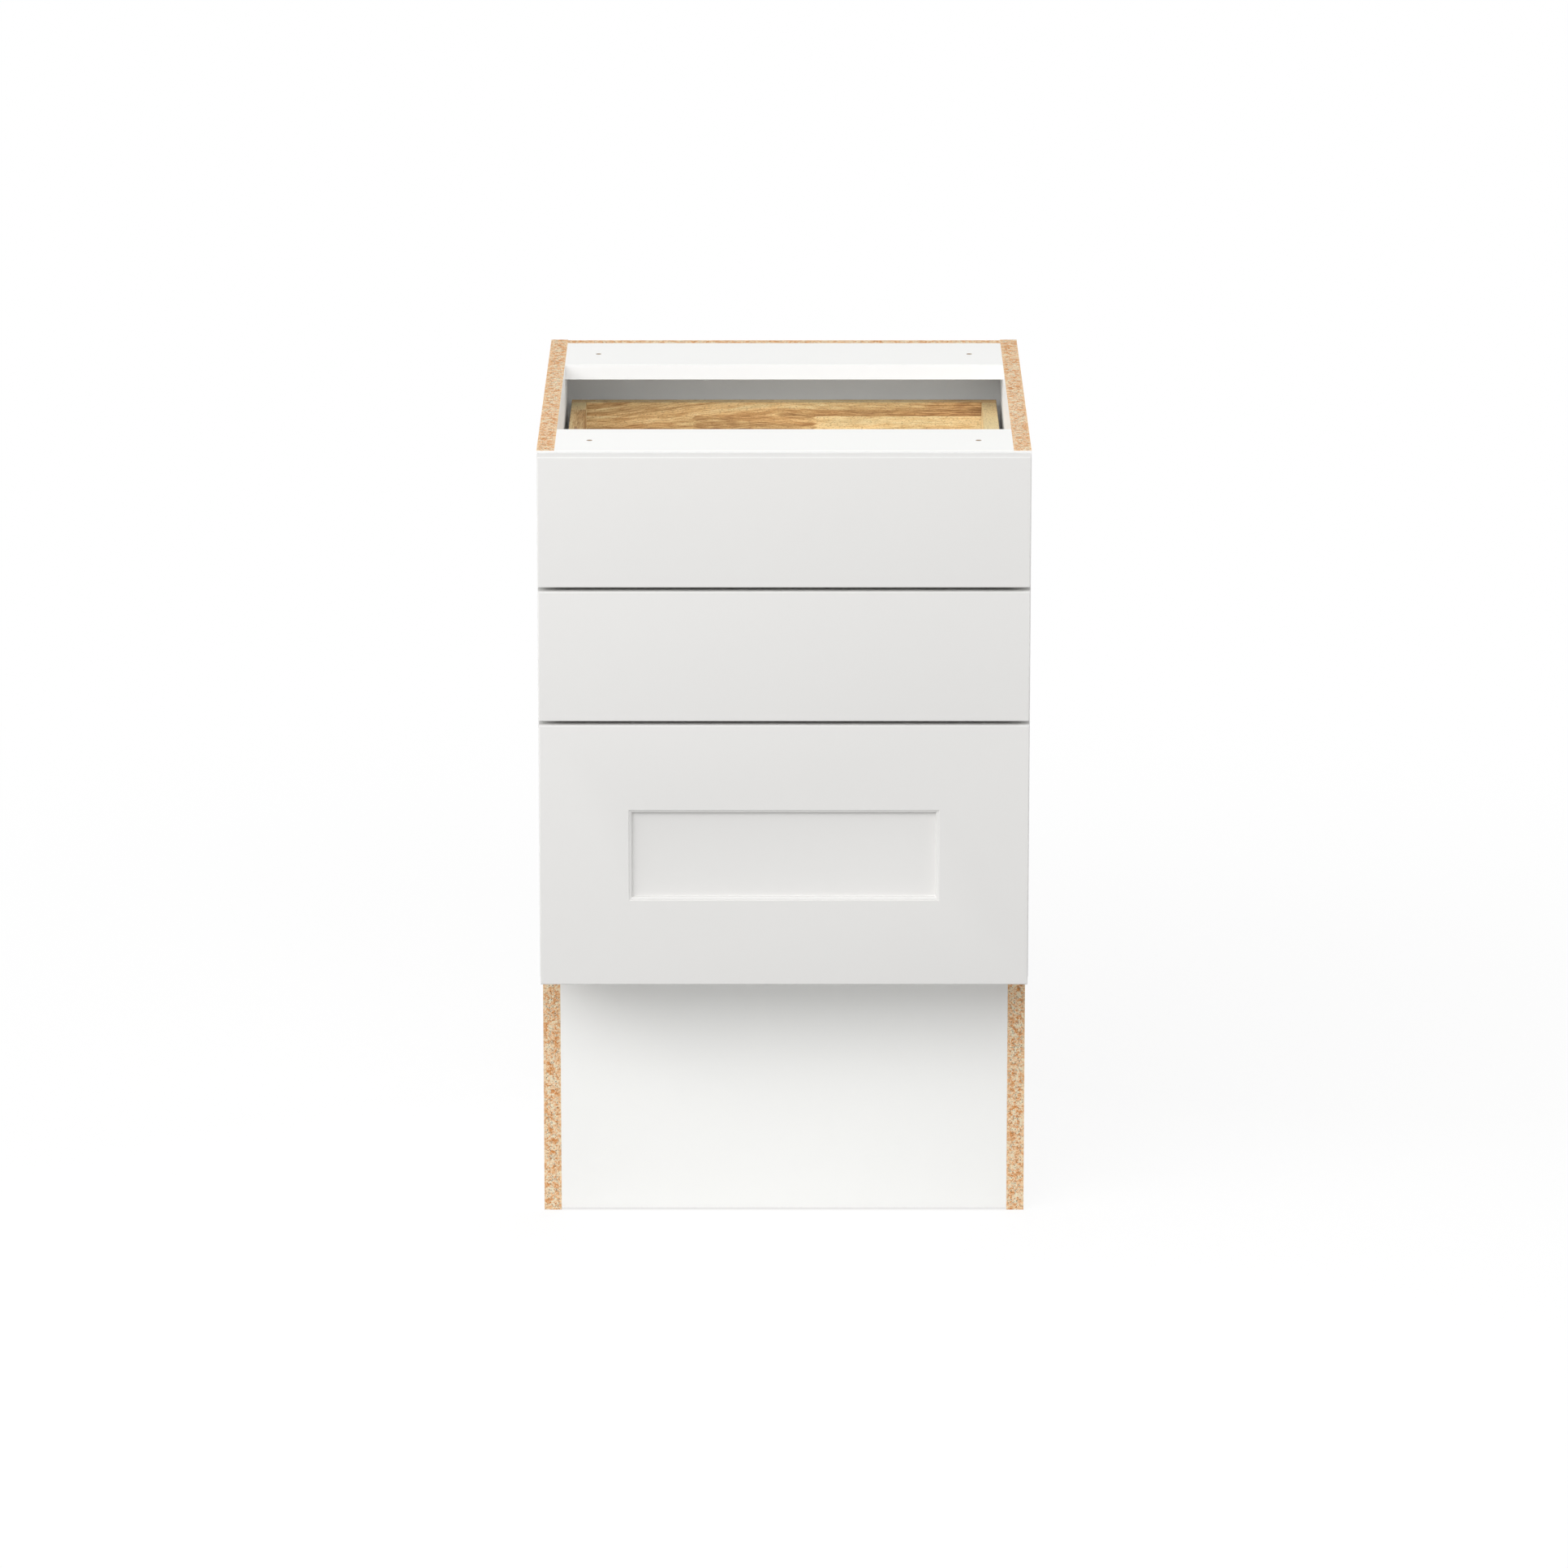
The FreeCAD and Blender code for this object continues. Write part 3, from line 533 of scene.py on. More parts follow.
def chosen_staves(along, across, rows):
    """The same for a board whose staves are known: rows of (lower level, staves), from its foot up."""
    look = bpy.context.scene.cabinet_boxes
    chosen = None
    for count, (level, staves) in enumerate(rows):
        seeds = stepped(along, [(s.start, 3.1 * count + 1.7 * i) for i, s in enumerate(staves)])
        tone, lean, rise, drift = (stepped(along, [(s.start, s[i]) for s in staves]) for i in range(1, 5))
        tone = tone - (across - level) / look.stave_height * rise + along * drift
        row = [seeds, tone, lean]
        if chosen:
            inside = across.above(level)
            row = [inside * (new - old) + old for old, new in zip(chosen, row)]
        chosen = row
    return chosen


def paler_bounce(w, colour):
    """Keeps the wood's colour for the camera, but paints the light that it throws on the boards around it
    brighter and nearly white.
    """
    bounced = w.signal("LightPath", output="Is Diffuse Ray")
    # Painted light: for bounced rays the wood is 30 percent brighter and almost colourless.
    paler = {"Color": colour, "Value": bounced * 0.3 + 1, "Saturation": 1 - bounced * 0.95}
    return w.signal("HueSaturation", paler)


# The fingers of a stave's joint repeat at twice this height.
FINGER_HEIGHT = 2.1 * MM


def staved_hardwood(name, along_axis, rows=None):
    """Finger-jointed boards that stand upright; along_axis is the way of their grain."""
    look = bpy.context.scene.cabinet_boxes
    surface = Surface(f"staved_hardwood_{name}", Specular_IOR_Level=0.3, Coat_Weight=0.05,
                      Coat_Roughness=0.4)
    w = surface.wiring
    place = w.split(surface.position)
    along, across, through = place[along_axis], place[Z], place[Y if along_axis == X else X]
    jointed = along + across.math("PINGPONG", FINGER_HEIGHT) * (look.finger / FINGER_HEIGHT)
    staves = chosen_staves(jointed, across, rows) if rows else random_staves(w, jointed, across, through)
    seed, tone, lean = staves
    # Painted light: faces that look up are made paler, as if lit from above.
    tone = tone - w.split(surface.normal)[Z].above(FACING) * 0.3
    same = {"seed": seed, "tone": tone, "wood": look.golden, "heartwood": look.brown,
            "dark_streaks": look.russet}
    grain = surface.place(wood_grain(), vector=w.join(along, across, through), lean=lean,
                          sapwood=look.pale, **same)
    ends = surface.place(end_grain(), vector=w.join(across, through, along), **same)
    on_end = surface.facing(along_axis)
    height = on_end * (ends["Height"] - grain["Height"]) + grain["Height"]
    surface.set(Base_Color=paler_bounce(w, w.mix(on_end, grain["Color"], ends["Color"])),
                Roughness=surface.mottled(60, 0.25) * 0.5 + on_end * 0.15,
                Normal=w.bump(height, 0.12 * MM, 0.6))
    return surface.material


def birch_veneer():
    """Rotary-cut birch on both faces of the box bottoms, with the plies showing on their edges."""
    look = bpy.context.scene.cabinet_boxes
    surface = Surface("birch_plywood", Coat_Weight=0.1, Coat_Roughness=0.4)
    w = surface.wiring
    x, y, z = w.split(surface.position)
    flow = w.noise(w.join(x * 9, y * 2.2, z * 4))
    figure = w.math("SINE", flow * 46 + x * 30) * 0.5 + 0.5
    fibres = w.noise(w.join(x * 1500, y * 40, z * 200))
    flecks = w.noise(w.join(x * 900, y * 120, z), detail=1).between(0.68, 0.76)
    plies = w.math("SINE", z * (tau / (2.6 * MM))).above(0)
    veneer = w.mix(figure * 0.22 + fibres * 0.16 + flecks * 0.25, look.veneer, look.brown)
    edge = w.mix(plies * 0.5 + fibres * 0.2, look.veneer, look.russet)
    surface.set(Base_Color=paler_bounce(w, w.mix(surface.facing(Z), edge, veneer)),
                Roughness=0.42 + fibres * 0.16, Normal=w.bump(fibres - flecks, 0.06 * MM, 0.5))
    return surface.material


def galvanised_sheet():
    surface = Surface("galvanised_sheet", Metallic=1)
    coat = surface.place(zinc_spangle(), scale=230)
    surface.set(Base_Color=surface.shaded(bpy.context.scene.cabinet_hardware.zinc, coat["Shade"]),
                Roughness=coat["Roughness"], Normal=surface.wiring.bump(coat["Height"], 0.02 * MM, 0.4))
    return surface.material


def plated_screw():
    """Bright zinc plating, duller where it is rough."""
    worn = (420, 0.24)
    return even_finish("plated_screw", bpy.context.scene.cabinet_hardware.screw, worn, worn, 0.3,
                       (5200, 0.02 * MM, 0.4), Metallic=1)


def moulded_plastic():
    worn = (70, 0.12)
    return even_finish("moulded_plastic", bpy.context.scene.cabinet_hardware.clip, worn, worn, 0.52,
                       (2400, 0.06 * MM, 0.5))


def beech_dowel():
    """Beech with short dark flecks and pressed flutes along the dowel."""
    beech = bpy.context.scene.cabinet_hardware.beech
    surface = Surface("beech_dowel", Roughness=0.6)
    w = surface.wiring
    x, y, z = w.split(surface.position)
    fibres = w.noise(w.join(x * 40, y * 900, z * 900))
    flecks = w.noise(w.join(x * 300, y * 1100, z * 1100), detail=1).between(0.66, 0.72)
    surface.set(Base_Color=w.mix(fibres * 0.25 + flecks * 0.5, beech, linear(150, 104, 66)),
                Normal=w.bump(fibres - flecks, 0.1 * MM, 0.6))
    return surface.material


def soft_silicone():
    """Clear, slightly milky rubber."""
    surface = Surface("soft_silicone", Transmission_Weight=0.75, IOR=1.42)
    dust = surface.mottled(600, 0.5) * 0.2
    surface.set(Base_Color=surface.wiring.mix(dust, linear(238, 240, 240), linear(214, 216, 216)),
                Roughness=dust, Normal=surface.relief(3000, 0.02 * MM, 0.4))
    return surface.material


# Pieces made from the CAD nodes

def merged_copy(node):
    """The CAD node's shape as one closed mesh of large faces."""
    shape = bmesh.new()
    shape.from_mesh(frame["nodes"][node].data)
    bmesh.ops.remove_doubles(shape, verts=shape.verts, dist=1e-6)
    bmesh.ops.dissolve_limit(shape, angle_limit=radians(0.3), verts=shape.verts, edges=shape.edges)
    return shape


def new_object(name, data):
    made = bpy.data.objects.new(name, data)
    bpy.context.scene.collection.objects.link(made)
    return made


def new_piece(name, shape, material):
    mesh = bpy.data.meshes.new(name)
    shape.to_mesh(mesh)
    shape.free()
    mesh.shade_smooth()
    mesh.materials.append(material)
    return new_object(name, mesh)


def make_plain(piece):
    """Turns what the modifiers make into a plain mesh, and removes them."""
    bpy.context.view_layer.update()
    graph = bpy.context.evaluated_depsgraph_get()
    made = piece.evaluated_get(graph)
    mesh = bpy.data.meshes.new_from_object(made, preserve_all_data_layers=True, depsgraph=graph)
    piece.modifiers.clear()
    piece.data = mesh


def body_of(node):
    bodies = frame["record"]["behaviour"]["bodies"]
    return next(body for body, members in bodies.items() if node in members)


def slot_of(node):
    return frame["nodes"][node].data.materials[0].name


def stand_in(piece, node):
    """Lets a finished piece take a CAD node's place."""
    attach(piece, body_of(node))
    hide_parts(node)
    slot_of(node)


def eased(node, material, easing, segments=2, rounding=None):
    """A copy of the node with eased edges; rounding is (width, test of an edge) for wider ones."""
    shape = merged_copy(node)
    widest = rounding[0] if rounding else easing
    weights = shape.edges.layers.float.new("bevel_weight_edge")
    for edge in shape.edges:
        if len(edge.link_faces) == 2 and edge.calc_face_angle() > radians(35):
            edge[weights] = 1 if rounding and rounding[1](edge) else easing / widest
    piece = new_piece(f"eased_{node}", shape, material)
    bevel = piece.modifiers.new("Easing", "BEVEL")
    bevel.width = widest
    bevel.segments = 3 if rounding else segments
    bevel.limit_method = "WEIGHT"
    piece.modifiers.new("Flat faces", "WEIGHTED_NORMAL").weight = 100
    make_plain(piece)
    stand_in(piece, node)


# Fronts: a section that runs around the board, mitred at its corners

def arc(centre, radius, start, end, steps):
    """Points (inset, depth) of an arc between two angles in degrees."""
    for step in range(steps + 1):
        angle = radians(start + (end - start) * step / steps)
        yield centre[0] + radius * cos(angle), centre[1] + radius * sin(angle)


def outer_section(look, thickness):
    """From the back of a front to the rim of its face, as insets from its edges and depths."""
    arris, radius = look.arris, look.edge_radius
    yield arris, thickness
    yield from arc((arris, thickness - arris), arris, 90, 180, 3)
    yield from arc((radius, radius), radius, 180, 270, 8)


def sunk_section(look):
    """From the rim of the opening to the sunk panel, as insets from the opening's edges and depths."""
    arris, bead = look.arris, look.bead
    yield from arc((-arris, arris), arris, 270, 360, 4)
    chamfer = 0.08 * MM
    yield 0, look.step - chamfer
    yield chamfer, look.step
    yield from arc((look.ledge, look.step + bead), bead, 270, 360, 10)
    foot, hollow = look.ledge + bead, 0.4 * MM
    yield from arc((foot + hollow, look.sunk - hollow), hollow, 180, 90, 4)


def mitred_loft(rings):
    """Joins rectangles (low x, high x, low z, high z, y) into one closed board."""
    shape = bmesh.new()
    loops = []
    for left, right, bottom, top, y in rings:
        corners = [(left, bottom), (right, bottom), (right, top), (left, top)]
        loops.append([shape.verts.new((x, y, z)) for x, z in corners])
    for loop, following in zip(loops, loops[1:]):
        for index in range(4):
            after = (index + 1) % 4
            shape.faces.new((loop[index], loop[after], following[after], following[index]))
    shape.faces.new(loops[0])
    shape.faces.new(list(reversed(loops[-1])))
    bmesh.ops.remove_doubles(shape, verts=shape.verts, dist=1e-7)
    bmesh.ops.recalc_face_normals(shape, faces=shape.faces)
    return shape


def front_piece(drawer, material):
    look = bpy.context.scene.cabinet_fronts
    node = f"{drawer}_drawer_front"
    low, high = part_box(node)

    def ring(inset, depth, stile=0, rail=0):
        side, level = stile + inset, rail + inset
        return low.x + side, high.x - side, low.z + level, high.z - level, low.y + depth

    rings = [ring(*point) for point in outer_section(look, high.y - low.y)]
    if drawer == "lower":
        rings += [ring(*point, look.stile, look.rail) for point in sunk_section(look)]
    piece = new_piece(f"painted_{node}", mitred_loft(rings), material)
    piece.data.set_sharp_from_angle(angle=radians(38))
    stand_in(piece, node)


# Fasteners: one is turned in a node tree, and set on a point for each solid of the CAD node

def solids_of(node):
    """Lowest and highest corner of each solid in the node."""
    shape = merged_copy(node)
    waiting = set(shape.verts)
    corners = []
    while waiting:
        reached, found = [waiting.pop()], []
        while reached:
            vertex = reached.pop()
            found.append(vertex.co.copy())
            for edge in vertex.link_edges:
                other = edge.other_vert(vertex)
                if other in waiting:
                    waiting.remove(other)
                    reached.append(other)
        corners.append([Vector(map(furthest, zip(*found))) for furthest in (min, max)])
    shape.free()
    return corners


# Ways that fasteners face. The first two are turned round on the cabinet's left.
OUTWARDS, INWARDS = Vector((1, 0, 0)), Vector((-1, 0, 0))
FORWARDS, BACKWARDS = Vector((0, -1, 0)), Vector((0, 1, 0))


def head_places(node, facing):
    """The head's end of each solid in the node, and the way that it faces."""
    for low, high in solids_of(node):
        middle = (low + high) / 2
        way = Vector((facing.x * copysign(1, middle.x), facing.y, facing.z))
        yield middle + way * abs((high - low).dot(way)) / 2, way


def turned(w, profile, facets):
    """A closed turned shape from (height, radius) points, from its top down."""
    parts = []
    for (top, top_radius), (bottom, bottom_radius) in zip(profile, profile[1:]):
        depth = w.math("MAXIMUM", top - bottom, 1e-6)
        sizes = {"Vertices": facets, "Radius Top": top_radius, "Radius Bottom": bottom_radius,
                 "Depth": depth}
        ring = w.signal("GeometryNodeMeshCone", sizes, fill_type="NONE")
        drop = w.join(0, 0, bottom)
        parts.append(w.signal("GeometryNodeTransform", {"Geometry": ring, "Translation": drop}))
    joined = w.node("GeometryNodeJoinGeometry")
    for part in parts:
        w.feed(joined.inputs[0], part)
    closed = {"Geometry": Signal(w, joined.outputs[0]), "Distance": 2e-6}
    return w.signal("GeometryNodeMergeByDistance", closed)


def hexagon_socket(w, width, depth):
    radius = width * (1 / sqrt(3))
    return [w.signal("GeometryNodeMeshCylinder", {"Vertices": 6, "Radius": radius, "Depth": depth * 2})]


def cross_recess(w, width, depth):
    bars = [(width, width * 0.2), (width * 0.2, width)]
    return [w.signal("GeometryNodeMeshCube", {"Size": w.join(x, y, depth * 2)}) for x, y in bars]


# A screw in shares of its sizes: (depth, radius) from the head's top to its rim, (length, radius) along the
# shank to its tip, the drive and how deep it is cut in the head.
Screw = namedtuple("Screw", "head tip drive depth")
CONNECTING = Screw([(0, 0), (0, 0.9), (0.12, 1), (0.2, 1)], [(0.96, 0.98), (1, 0.6), (1, 0)],
                   hexagon_socket, 0.75)
PAN_HEAD = Screw([(0, 0), (0, 0.55), (0.14, 0.8), (0.45, 0.96), (0.8, 1), (1, 1)],
                 [(0.8, 1), (1, 0.3), (1, 0)], cross_recess, 0.7)
WASHER_HEAD = Screw([(0, 0), (0, 0.3), (0.16, 0.5), (0.5, 0.62), (0.6, 0.66), (0.66, 0.95), (0.76, 1),
                     (1, 1)], [(0.85, 1), (1, 0.2), (1, 0)], cross_recess, 0.8)


def screw(w, size, kind):
    """A turned screw of that kind, with its drive cut into the head."""
    head, shank, height = size["head_diameter"] * 0.5, size["shank_diameter"] * 0.5, size["head_height"]
    profile = [(height * -down, head * out) for down, out in kind.head] + [(-height, shank)]
    profile += [(size["length"] * -down, shank * out) for down, out in kind.tip]
    node = w.node("GeometryNodeMeshBoolean", {"Mesh 1": turned(w, profile, size["facets"])},
                  operation="DIFFERENCE", solver="EXACT")
    for tool in kind.drive(w, size["drive"], height * kind.depth):
        w.feed(node.inputs["Mesh 2"], tool)
    return Signal(w, node.outputs["Mesh"])


def fluted_dowel(w, size):
    """A dowel with a chamfer at each end."""
    radius, end = size["shank_diameter"] * 0.5, size["length"]
    profile = [(0, 0), (0, radius * 0.75), (radius * -0.3, radius),
               (radius * 0.3 - end, radius), (-end, radius * 0.75), (-end, 0)]
    return turned(w, profile, size["facets"])


def dome_bumper(w, size):
    """A low dome on a flat adhesive foot."""
    radius, height = size["head_diameter"] * 0.5, size["head_height"]
    steps = [(sin(radians(a)), cos(radians(a))) for a in range(0, 91, 15)]
    profile = [(height * -(1 - up) * 0.85, radius * out) for out, up in steps]
    return turned(w, profile + [(-height, radius), (-height, 0)], size["facets"])


def fastener_tree(name, turn, *kind):
    """A tree that sets one fastener on every point, along the point's own direction."""
    def make(w, geometry, finish, **size):
        facing = w.signal("GeometryNodeInputNamedAttribute", {"Name": "facing"}, "Attribute",
                          data_type="FLOAT_VECTOR")
        rotation = w.signal("FunctionNodeAlignRotationToVector", {"Vector": facing}, axis="Z")
        copies = {"Points": geometry, "Instance": turn(w, size, *kind), "Rotation": rotation}
        placed = w.signal("GeometryNodeInstanceOnPoints", copies)
        real = w.signal("GeometryNodeRealizeInstances", {0: placed})
        return {"geometry": w.signal("GeometryNodeSetMaterial", {"Geometry": real, "Material": finish})}

    sizes = ("head_diameter", "head_height", "shank_diameter", "length", "drive")
    inputs = {"geometry": "Geometry", **dict.fromkeys(sizes, "Float"), "facets": "Int", "finish": "Material"}
    return node_group(name, "GeometryNodeTree", inputs, {"geometry": "Geometry"}, make)


def set_fasteners(node, facing, tree, material, **sizes):
    """Replaces the node's solids by turned fasteners at the same places."""
    places = list(head_places(node, facing))
    mesh = bpy.data.meshes.new(f"fitted_{node}")
    mesh.from_pydata([place for place, _ in places], [], [])
    facing = mesh.attributes.new("facing", "FLOAT_VECTOR", "POINT")
    facing.data.foreach_set("vector", [part for _, way in places for part in way])
    piece = new_object(f"fitted_{node}", mesh)
    fasteners = piece.modifiers.new("Fasteners", "NODES")
    fasteners.node_group = tree
    sizes.update(facets=bpy.context.scene.cabinet_hardware.facets, finish=material)
    values = {label(name): value for name, value in sizes.items()}
    for item in tree.interface.items_tree:
        if item.in_out == "INPUT" and item.name in values:
            fasteners[item.identifier] = values[item.name]
    make_plain(piece)
    piece.data.set_sharp_from_angle(angle=radians(35))
    stand_in(piece, node)


# Stage

def set_camera(scene):
    look = scene.cabinet_stage
    camera = new_object("studio_camera", bpy.data.cameras.new("studio_camera"))
    camera.data.lens = look.lens
    camera.location = (0, -look.eye_distance, look.eye_height)
    camera.rotation_euler = aimed(camera.location, look.aim_height)
    scene.camera = camera


def aimed(place, height):
    """The turn that looks from a place at that height in the cabinet's middle."""
    return (Vector((0, 0, height)) - place).to_track_quat("-Z", "Y").to_euler()


def seen_directly(w):
    """1 where the camera, a reflection or a clear piece looks at the stage."""
    path = w.node("LightPath")
    rays = ("Camera", "Glossy", "Transmission")
    camera, glossy, clear = (Signal(w, path.outputs[f"Is {ray} Ray"]) for ray in rays)
    return w.math("MAXIMUM", w.math("MAXIMUM", camera, glossy), clear)


def mixed_shaders(w, factor, first, second):
    return w.signal("MixShader", {0: factor, 1: first, 2: second})


def lay_floor(scene):
    """A pale floor that looks white but keeps some of the cabinet's shade around its foot."""
    look = scene.cabinet_stage
    mesh = bpy.data.meshes.new("studio_floor")
    reach, level = 9, -0.3 * MM
    corners = [(x * reach, y * reach, level) for x, y in ((-1, -1), (1, -1), (1, 1), (-1, 1))]
    mesh.from_pydata(corners, [], [(0, 1, 2, 3)])
    floor = new_object("studio_floor", mesh)
    material = bpy.data.materials.new("studio_floor")
    w = Wiring.of(material)
    place = w.signal("TexCoord", output="Object")
    away = w.signal("VectorMath", {0: place}, "Value", operation="LENGTH")
    kept = away.between(0.5, 2.2, look.shadow, 0)
    # Painted light for bounced rays only: near the cabinet's foot the floor throws back 1.45 times the
    # light.
    thrown = away.between(0.2, 0.5, look.bounce * 1.45, look.bounce)
    shade = w.mix(seen_directly(w), w.join(thrown, thrown, thrown), linear(252, 252, 252))
    pale = w.signal("BsdfDiffuse", {"Color": shade})
    white = w.signal("Emission", {"Color": (1, 1, 1, 1), "Strength": 1})
    clear = w.signal("BsdfTransparent")
    shown = mixed_shaders(w, seen_directly(w) * (1 - kept), pale, white)
    behind = w.signal("NewGeometry", output="Backfacing")
    w.node("OutputMaterial", {"Surface": mixed_shaders(w, behind, shown, clear)})
    mesh.materials.append(material)
    floor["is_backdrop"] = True


def light_studio(scene):
    look = scene.cabinet_stage
    lamps = {"front_light": ((-1.6, -4.2, 3.3), 0.5, (7, 3.2), look.front),
             "left_light": ((-4.2, -0.4, 1.8), 0.8, (4, 3.4), look.left),
             "right_light": ((4.2, 0.2, 1.9), 0.8, (4, 3.4), look.right),
             "back_light": ((0, 4.2, 0.65), 0.65, (7, 1.1), look.behind),
             "top_light": ((0, -0.4, 4.4), 0.8, (3, 3), look.top)}
    for name, (place, target, (width, height), watts) in lamps.items():
        lamp = new_object(name, bpy.data.lights.new(name, "AREA"))
        lamp.data.shape = "RECTANGLE"
        lamp.data.size, lamp.data.size_y = width, height
        lamp.data.energy = watts
        lamp.location = place
        lamp.rotation_euler = aimed(lamp.location, target)
        lamp.visible_camera = False
        lamp.visible_glossy = name != "back_light"
    world = bpy.data.worlds.new("studio_sky")
    w = Wiring.of(world)
    sky = w.signal("Background", {"Color": (1, 1, 1, 1), "Strength": look.sky})
    white = w.signal("Background", {"Color": (1, 1, 1, 1), "Strength": 1})
    w.node("OutputWorld", {"Surface": mixed_shaders(w, seen_directly(w), sky, white)})
    scene.world = world


# Operators

class CABINET_OT_boards(bpy.types.Operator):
    """Face the carcass boards with melamine and leave their cuts raw"""

    bl_idname = "base_cabinet.boards"
    bl_label = "Carcass boards"

    def execute(self, context):
        easing = context.scene.cabinet_boards.easing
        axes = {"left_side_panel": X, "right_side_panel": X, "bottom_panel": Z, "back_panel": Y,
                "toe_board": Y, "front_top_rail": Z, "rear_top_rail": Z}
        for node, axis in axes.items():
            eased(node, faced_board(node, axis), easing)
        return {"FINISHED"}


class CABINET_OT_edge_bands(bpy.types.Operator):
    """Glue the white bands on the front edges of the boards"""

    bl_idname = "base_cabinet.edge_bands"
    bl_label = "Edge bands"

    def execute(self, context):
        band = plastic_band()
        for board in ("left_side", "right_side", "bottom_panel", "front_rail", "rear_rail"):
            eased(f"{board}_edge_band", band, 0.3 * MM, segments=3)
        return {"FINISHED"}


class CABINET_OT_fronts(bpy.types.Operator):
    """Shape and paint the three drawer fronts"""

    bl_idname = "base_cabinet.fronts"
    bl_label = "Drawer fronts"

    def execute(self, context):
        paint = satin_paint()
        for drawer in DRAWERS:
            front_piece(drawer, paint)
        return {"FINISHED"}


# The staves that show in the open top, row by row: the row's lower level, then its staves.
BACK_STAVES = [(0, [Stave(-0.3, 0.35), Stave(0.07, 0.6)]),
               (0.722, [Stave(-0.3, 1, 0.04, 0.7), Stave(-0.093, 0.62), Stave(0.0365, 0.24)]),
               (0.760, [Stave(-0.3, 0.43, 0.14, 0, -0.7), Stave(-0.005, 0.8, -0.02, 1.5, 2.2)])]
LEFT_STAVES = [(0, [Stave(-0.3, 0.3), Stave(0.05, 0.5)]),
               (0.722, [Stave(-0.3, 0.5), Stave(0.12, 0.25)]),
               (0.745, [Stave(-0.3, 0.4), Stave(-0.02, 0.85), Stave(0.2, 0.2)])]
RIGHT_STAVES = [(0, [Stave(-0.3, 0.5), Stave(0.02, 0.2)]),
                (0.722, [Stave(-0.3, 0.2), Stave(0.16, 0.6)]),
                (0.745, [Stave(-0.3, 0.3), Stave(0.03, 0.12)])]


def upper_edges(node):
    """A test for the long edges around the node's top."""
    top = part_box(node)[1].z - 0.01 * MM
    return lambda edge: edge.calc_length() > 50 * MM and all(v.co.z > top for v in edge.verts)


class CABINET_OT_boxes(bpy.types.Operator):
    """Give the drawer boxes their finger-jointed hardwood and rounded top edges"""

    bl_idname = "base_cabinet.boxes"
    bl_label = "Drawer boxes"

    def execute(self, context):
        look = context.scene.cabinet_boxes
        crosswise = staved_hardwood("crosswise", X)
        lengthwise = staved_hardwood("lengthwise", Y)
        known = {"upper_box_back": staved_hardwood("upper_back", X, BACK_STAVES),
                 "upper_box_left_side": staved_hardwood("upper_left", Y, LEFT_STAVES),
                 "upper_box_right_side": staved_hardwood("upper_right", Y, RIGHT_STAVES)}
        boards = {"box_front": crosswise, "box_back": crosswise, "box_left_side": lengthwise,
                  "box_right_side": lengthwise}
        for drawer in DRAWERS:
            for board, wood in boards.items():
                node = f"{drawer}_{board}"
                rounding = (look.top_rounding, upper_edges(node))
                eased(node, known.get(node, wood), look.easing, rounding=rounding)
        return {"FINISHED"}


class CABINET_OT_box_bottoms(bpy.types.Operator):
    """Veneer the box bottoms with birch"""

    bl_idname = "base_cabinet.box_bottoms"
    bl_label = "Box bottoms"

    def execute(self, context):
        veneer = birch_veneer()
        for drawer in DRAWERS:
            eased(f"{drawer}_box_bottom", veneer, 0.2 * MM)
        return {"FINISHED"}


class CABINET_OT_slides(bpy.types.Operator):
    """Bend the slides from galvanised sheet"""

    bl_idname = "base_cabinet.slides"
    bl_label = "Drawer slides"

    def execute(self, context):
        sheet = galvanised_sheet()
        for drawer in DRAWERS:
            for side in SIDES:
                for member in ("cabinet_rail", "runner", "drawer_rail"):
                    eased(f"{drawer}_{side}_{member}", sheet, 0.4 * MM, segments=3)
        return {"FINISHED"}


class CABINET_OT_clips(bpy.types.Operator):
    """Mould the locking clips under the drawer boxes"""

    bl_idname = "base_cabinet.clips"
    bl_label = "Locking clips"

    def execute(self, context):
        plastic = moulded_plastic()
        for drawer in DRAWERS:
            eased(f"{drawer}_locking_clips", plastic, 1.2 * MM, segments=4)
        return {"FINISHED"}


class CABINET_OT_connecting_screws(bpy.types.Operator):
    """Turn the connecting screws and dowels of the carcass"""

    bl_idname = "base_cabinet.connecting_screws"
    bl_label = "Connecting screws and dowels"

    def execute(self, context):
        look = context.scene.cabinet_hardware
        screws = fastener_tree("Connecting screws", screw, CONNECTING)
        set_fasteners("carcass_screws", OUTWARDS, screws, plated_screw(), head_diameter=10 * MM,
                      head_height=4 * MM, shank_diameter=7 * MM, length=50 * MM, drive=look.drive)
        dowels = fastener_tree("Dowels", fluted_dowel)
        set_fasteners("carcass_dowels", OUTWARDS, dowels, beech_dowel(), shank_diameter=8 * MM,
                      length=30 * MM)
        return {"FINISHED"}


class CABINET_OT_small_screws(bpy.types.Operator):
    """Turn the screws of the slides and of the fronts"""

    bl_idname = "base_cabinet.small_screws"
    bl_label = "Slide and front screws"

    def execute(self, context):
        look = context.scene.cabinet_hardware
        plating = plated_screw()
        pan_heads = fastener_tree("Pan-head screws", screw, PAN_HEAD)
        set_fasteners("slide_screws", INWARDS, pan_heads, plating, head_diameter=9 * MM,
                      head_height=1.8 * MM, shank_diameter=6 * MM, length=15 * MM, drive=look.recess)
        washer_heads = fastener_tree("Washer-head screws", screw, WASHER_HEAD)
        for drawer in DRAWERS:
            set_fasteners(f"{drawer}_front_screws", BACKWARDS, washer_heads, plating,
                          head_diameter=9 * MM, head_height=2.5 * MM, shank_diameter=4 * MM,
                          length=30.5 * MM, drive=look.recess * 0.9)
        return {"FINISHED"}


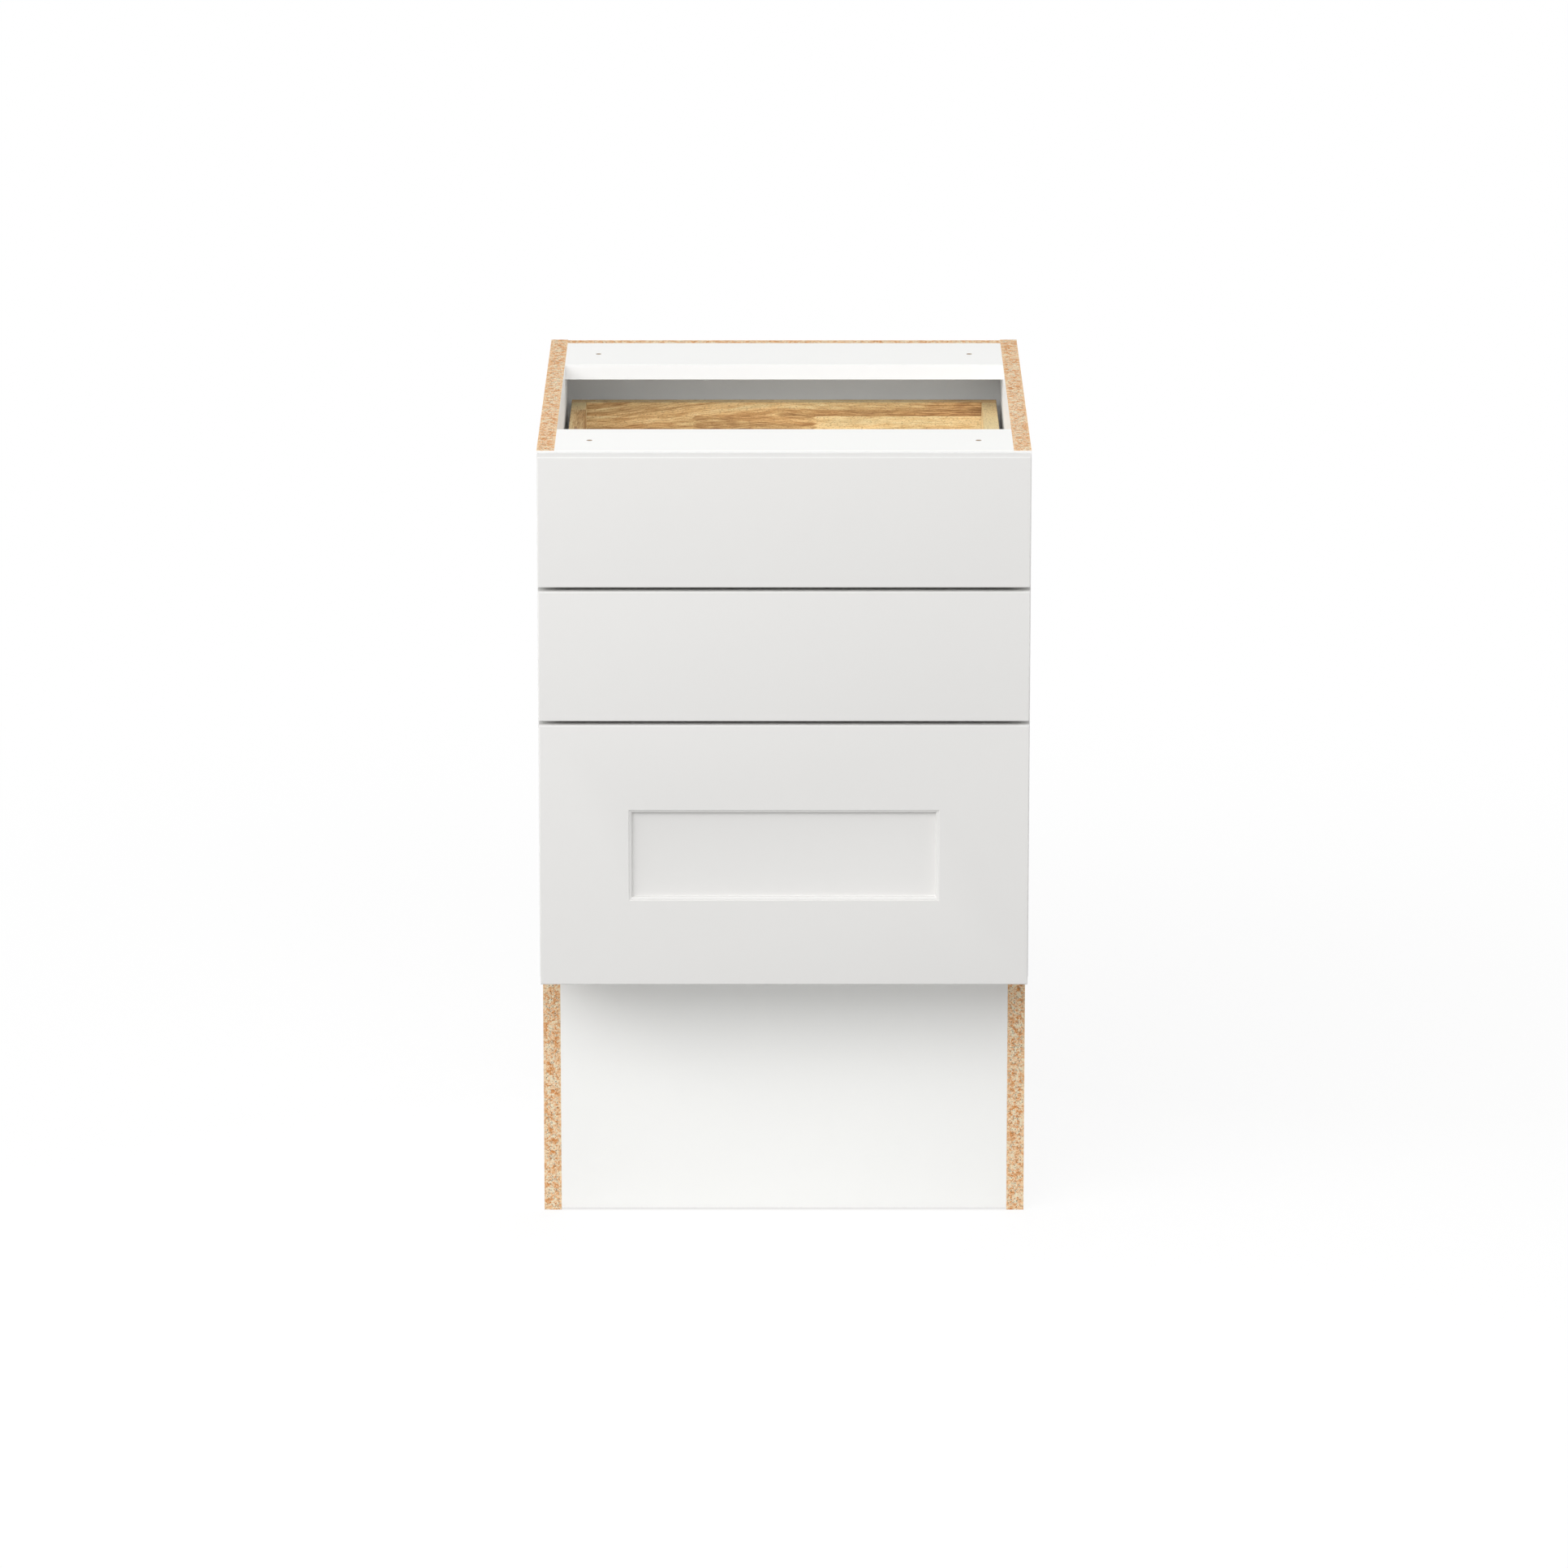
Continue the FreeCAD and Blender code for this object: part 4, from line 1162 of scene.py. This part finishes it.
class CABINET_OT_bumpers(bpy.types.Operator):
    """Stick the clear bumpers on the carcass's front edges"""

    bl_idname = "base_cabinet.bumpers"
    bl_label = "Bumpers"

    def execute(self, context):
        domes = fastener_tree("Dome bumpers", dome_bumper)
        set_fasteners("front_bumpers", FORWARDS, domes, soft_silicone(), head_diameter=8 * MM,
                      head_height=1.8 * MM)
        return {"FINISHED"}


class CABINET_OT_stage(bpy.types.Operator):
    """Set up the camera, the pale floor and the soft studio light"""

    bl_idname = "base_cabinet.stage"
    bl_label = "Stage"

    def execute(self, context):
        set_camera(context.scene)
        lay_floor(context.scene)
        light_studio(context.scene)
        return {"FINISHED"}


OPERATORS = (CABINET_OT_stage, CABINET_OT_boards, CABINET_OT_edge_bands, CABINET_OT_fronts, CABINET_OT_boxes,
             CABINET_OT_box_bottoms, CABINET_OT_slides, CABINET_OT_clips, CABINET_OT_connecting_screws,
             CABINET_OT_small_screws, CABINET_OT_bumpers)


class CABINET_PT_sidebar(bpy.types.Panel):
    """Everything that the cabinet is dressed with"""

    bl_idname = "CABINET_PT_sidebar"
    bl_label = "Base cabinet"
    bl_space_type = "VIEW_3D"
    bl_region_type = "UI"
    bl_category = "Cabinet"

    def draw(self, context):
        for operator in OPERATORS:
            self.layout.operator(operator.bl_idname)
        for name, settings in SETTINGS.items():
            box = self.layout.box()
            for field in settings.__annotations__:
                box.prop(getattr(context.scene, name), field)


def register():
    for name, settings in SETTINGS.items():
        bpy.utils.register_class(settings)
        setattr(bpy.types.Scene, name, PointerProperty(type=settings))
    for operator in OPERATORS:
        bpy.utils.register_class(operator)
    bpy.utils.register_class(CABINET_PT_sidebar)


def unregister():
    bpy.utils.unregister_class(CABINET_PT_sidebar)
    for operator in reversed(OPERATORS):
        bpy.utils.unregister_class(operator)
    for name, settings in SETTINGS.items():
        delattr(bpy.types.Scene, name)
        bpy.utils.unregister_class(settings)


def main():
    register()
    bpy.context.scene.view_settings.view_transform = "Standard"
    for operator in OPERATORS:
        group, name = operator.bl_idname.split(".")
        getattr(getattr(bpy.ops, group), name)()
    boxes = {"cad": CAD_BOX, "visual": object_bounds()}
    sizes = {name: [list(corner) for corner in box] for name, box in boxes.items()}


if __name__ == "__main__":
    main()
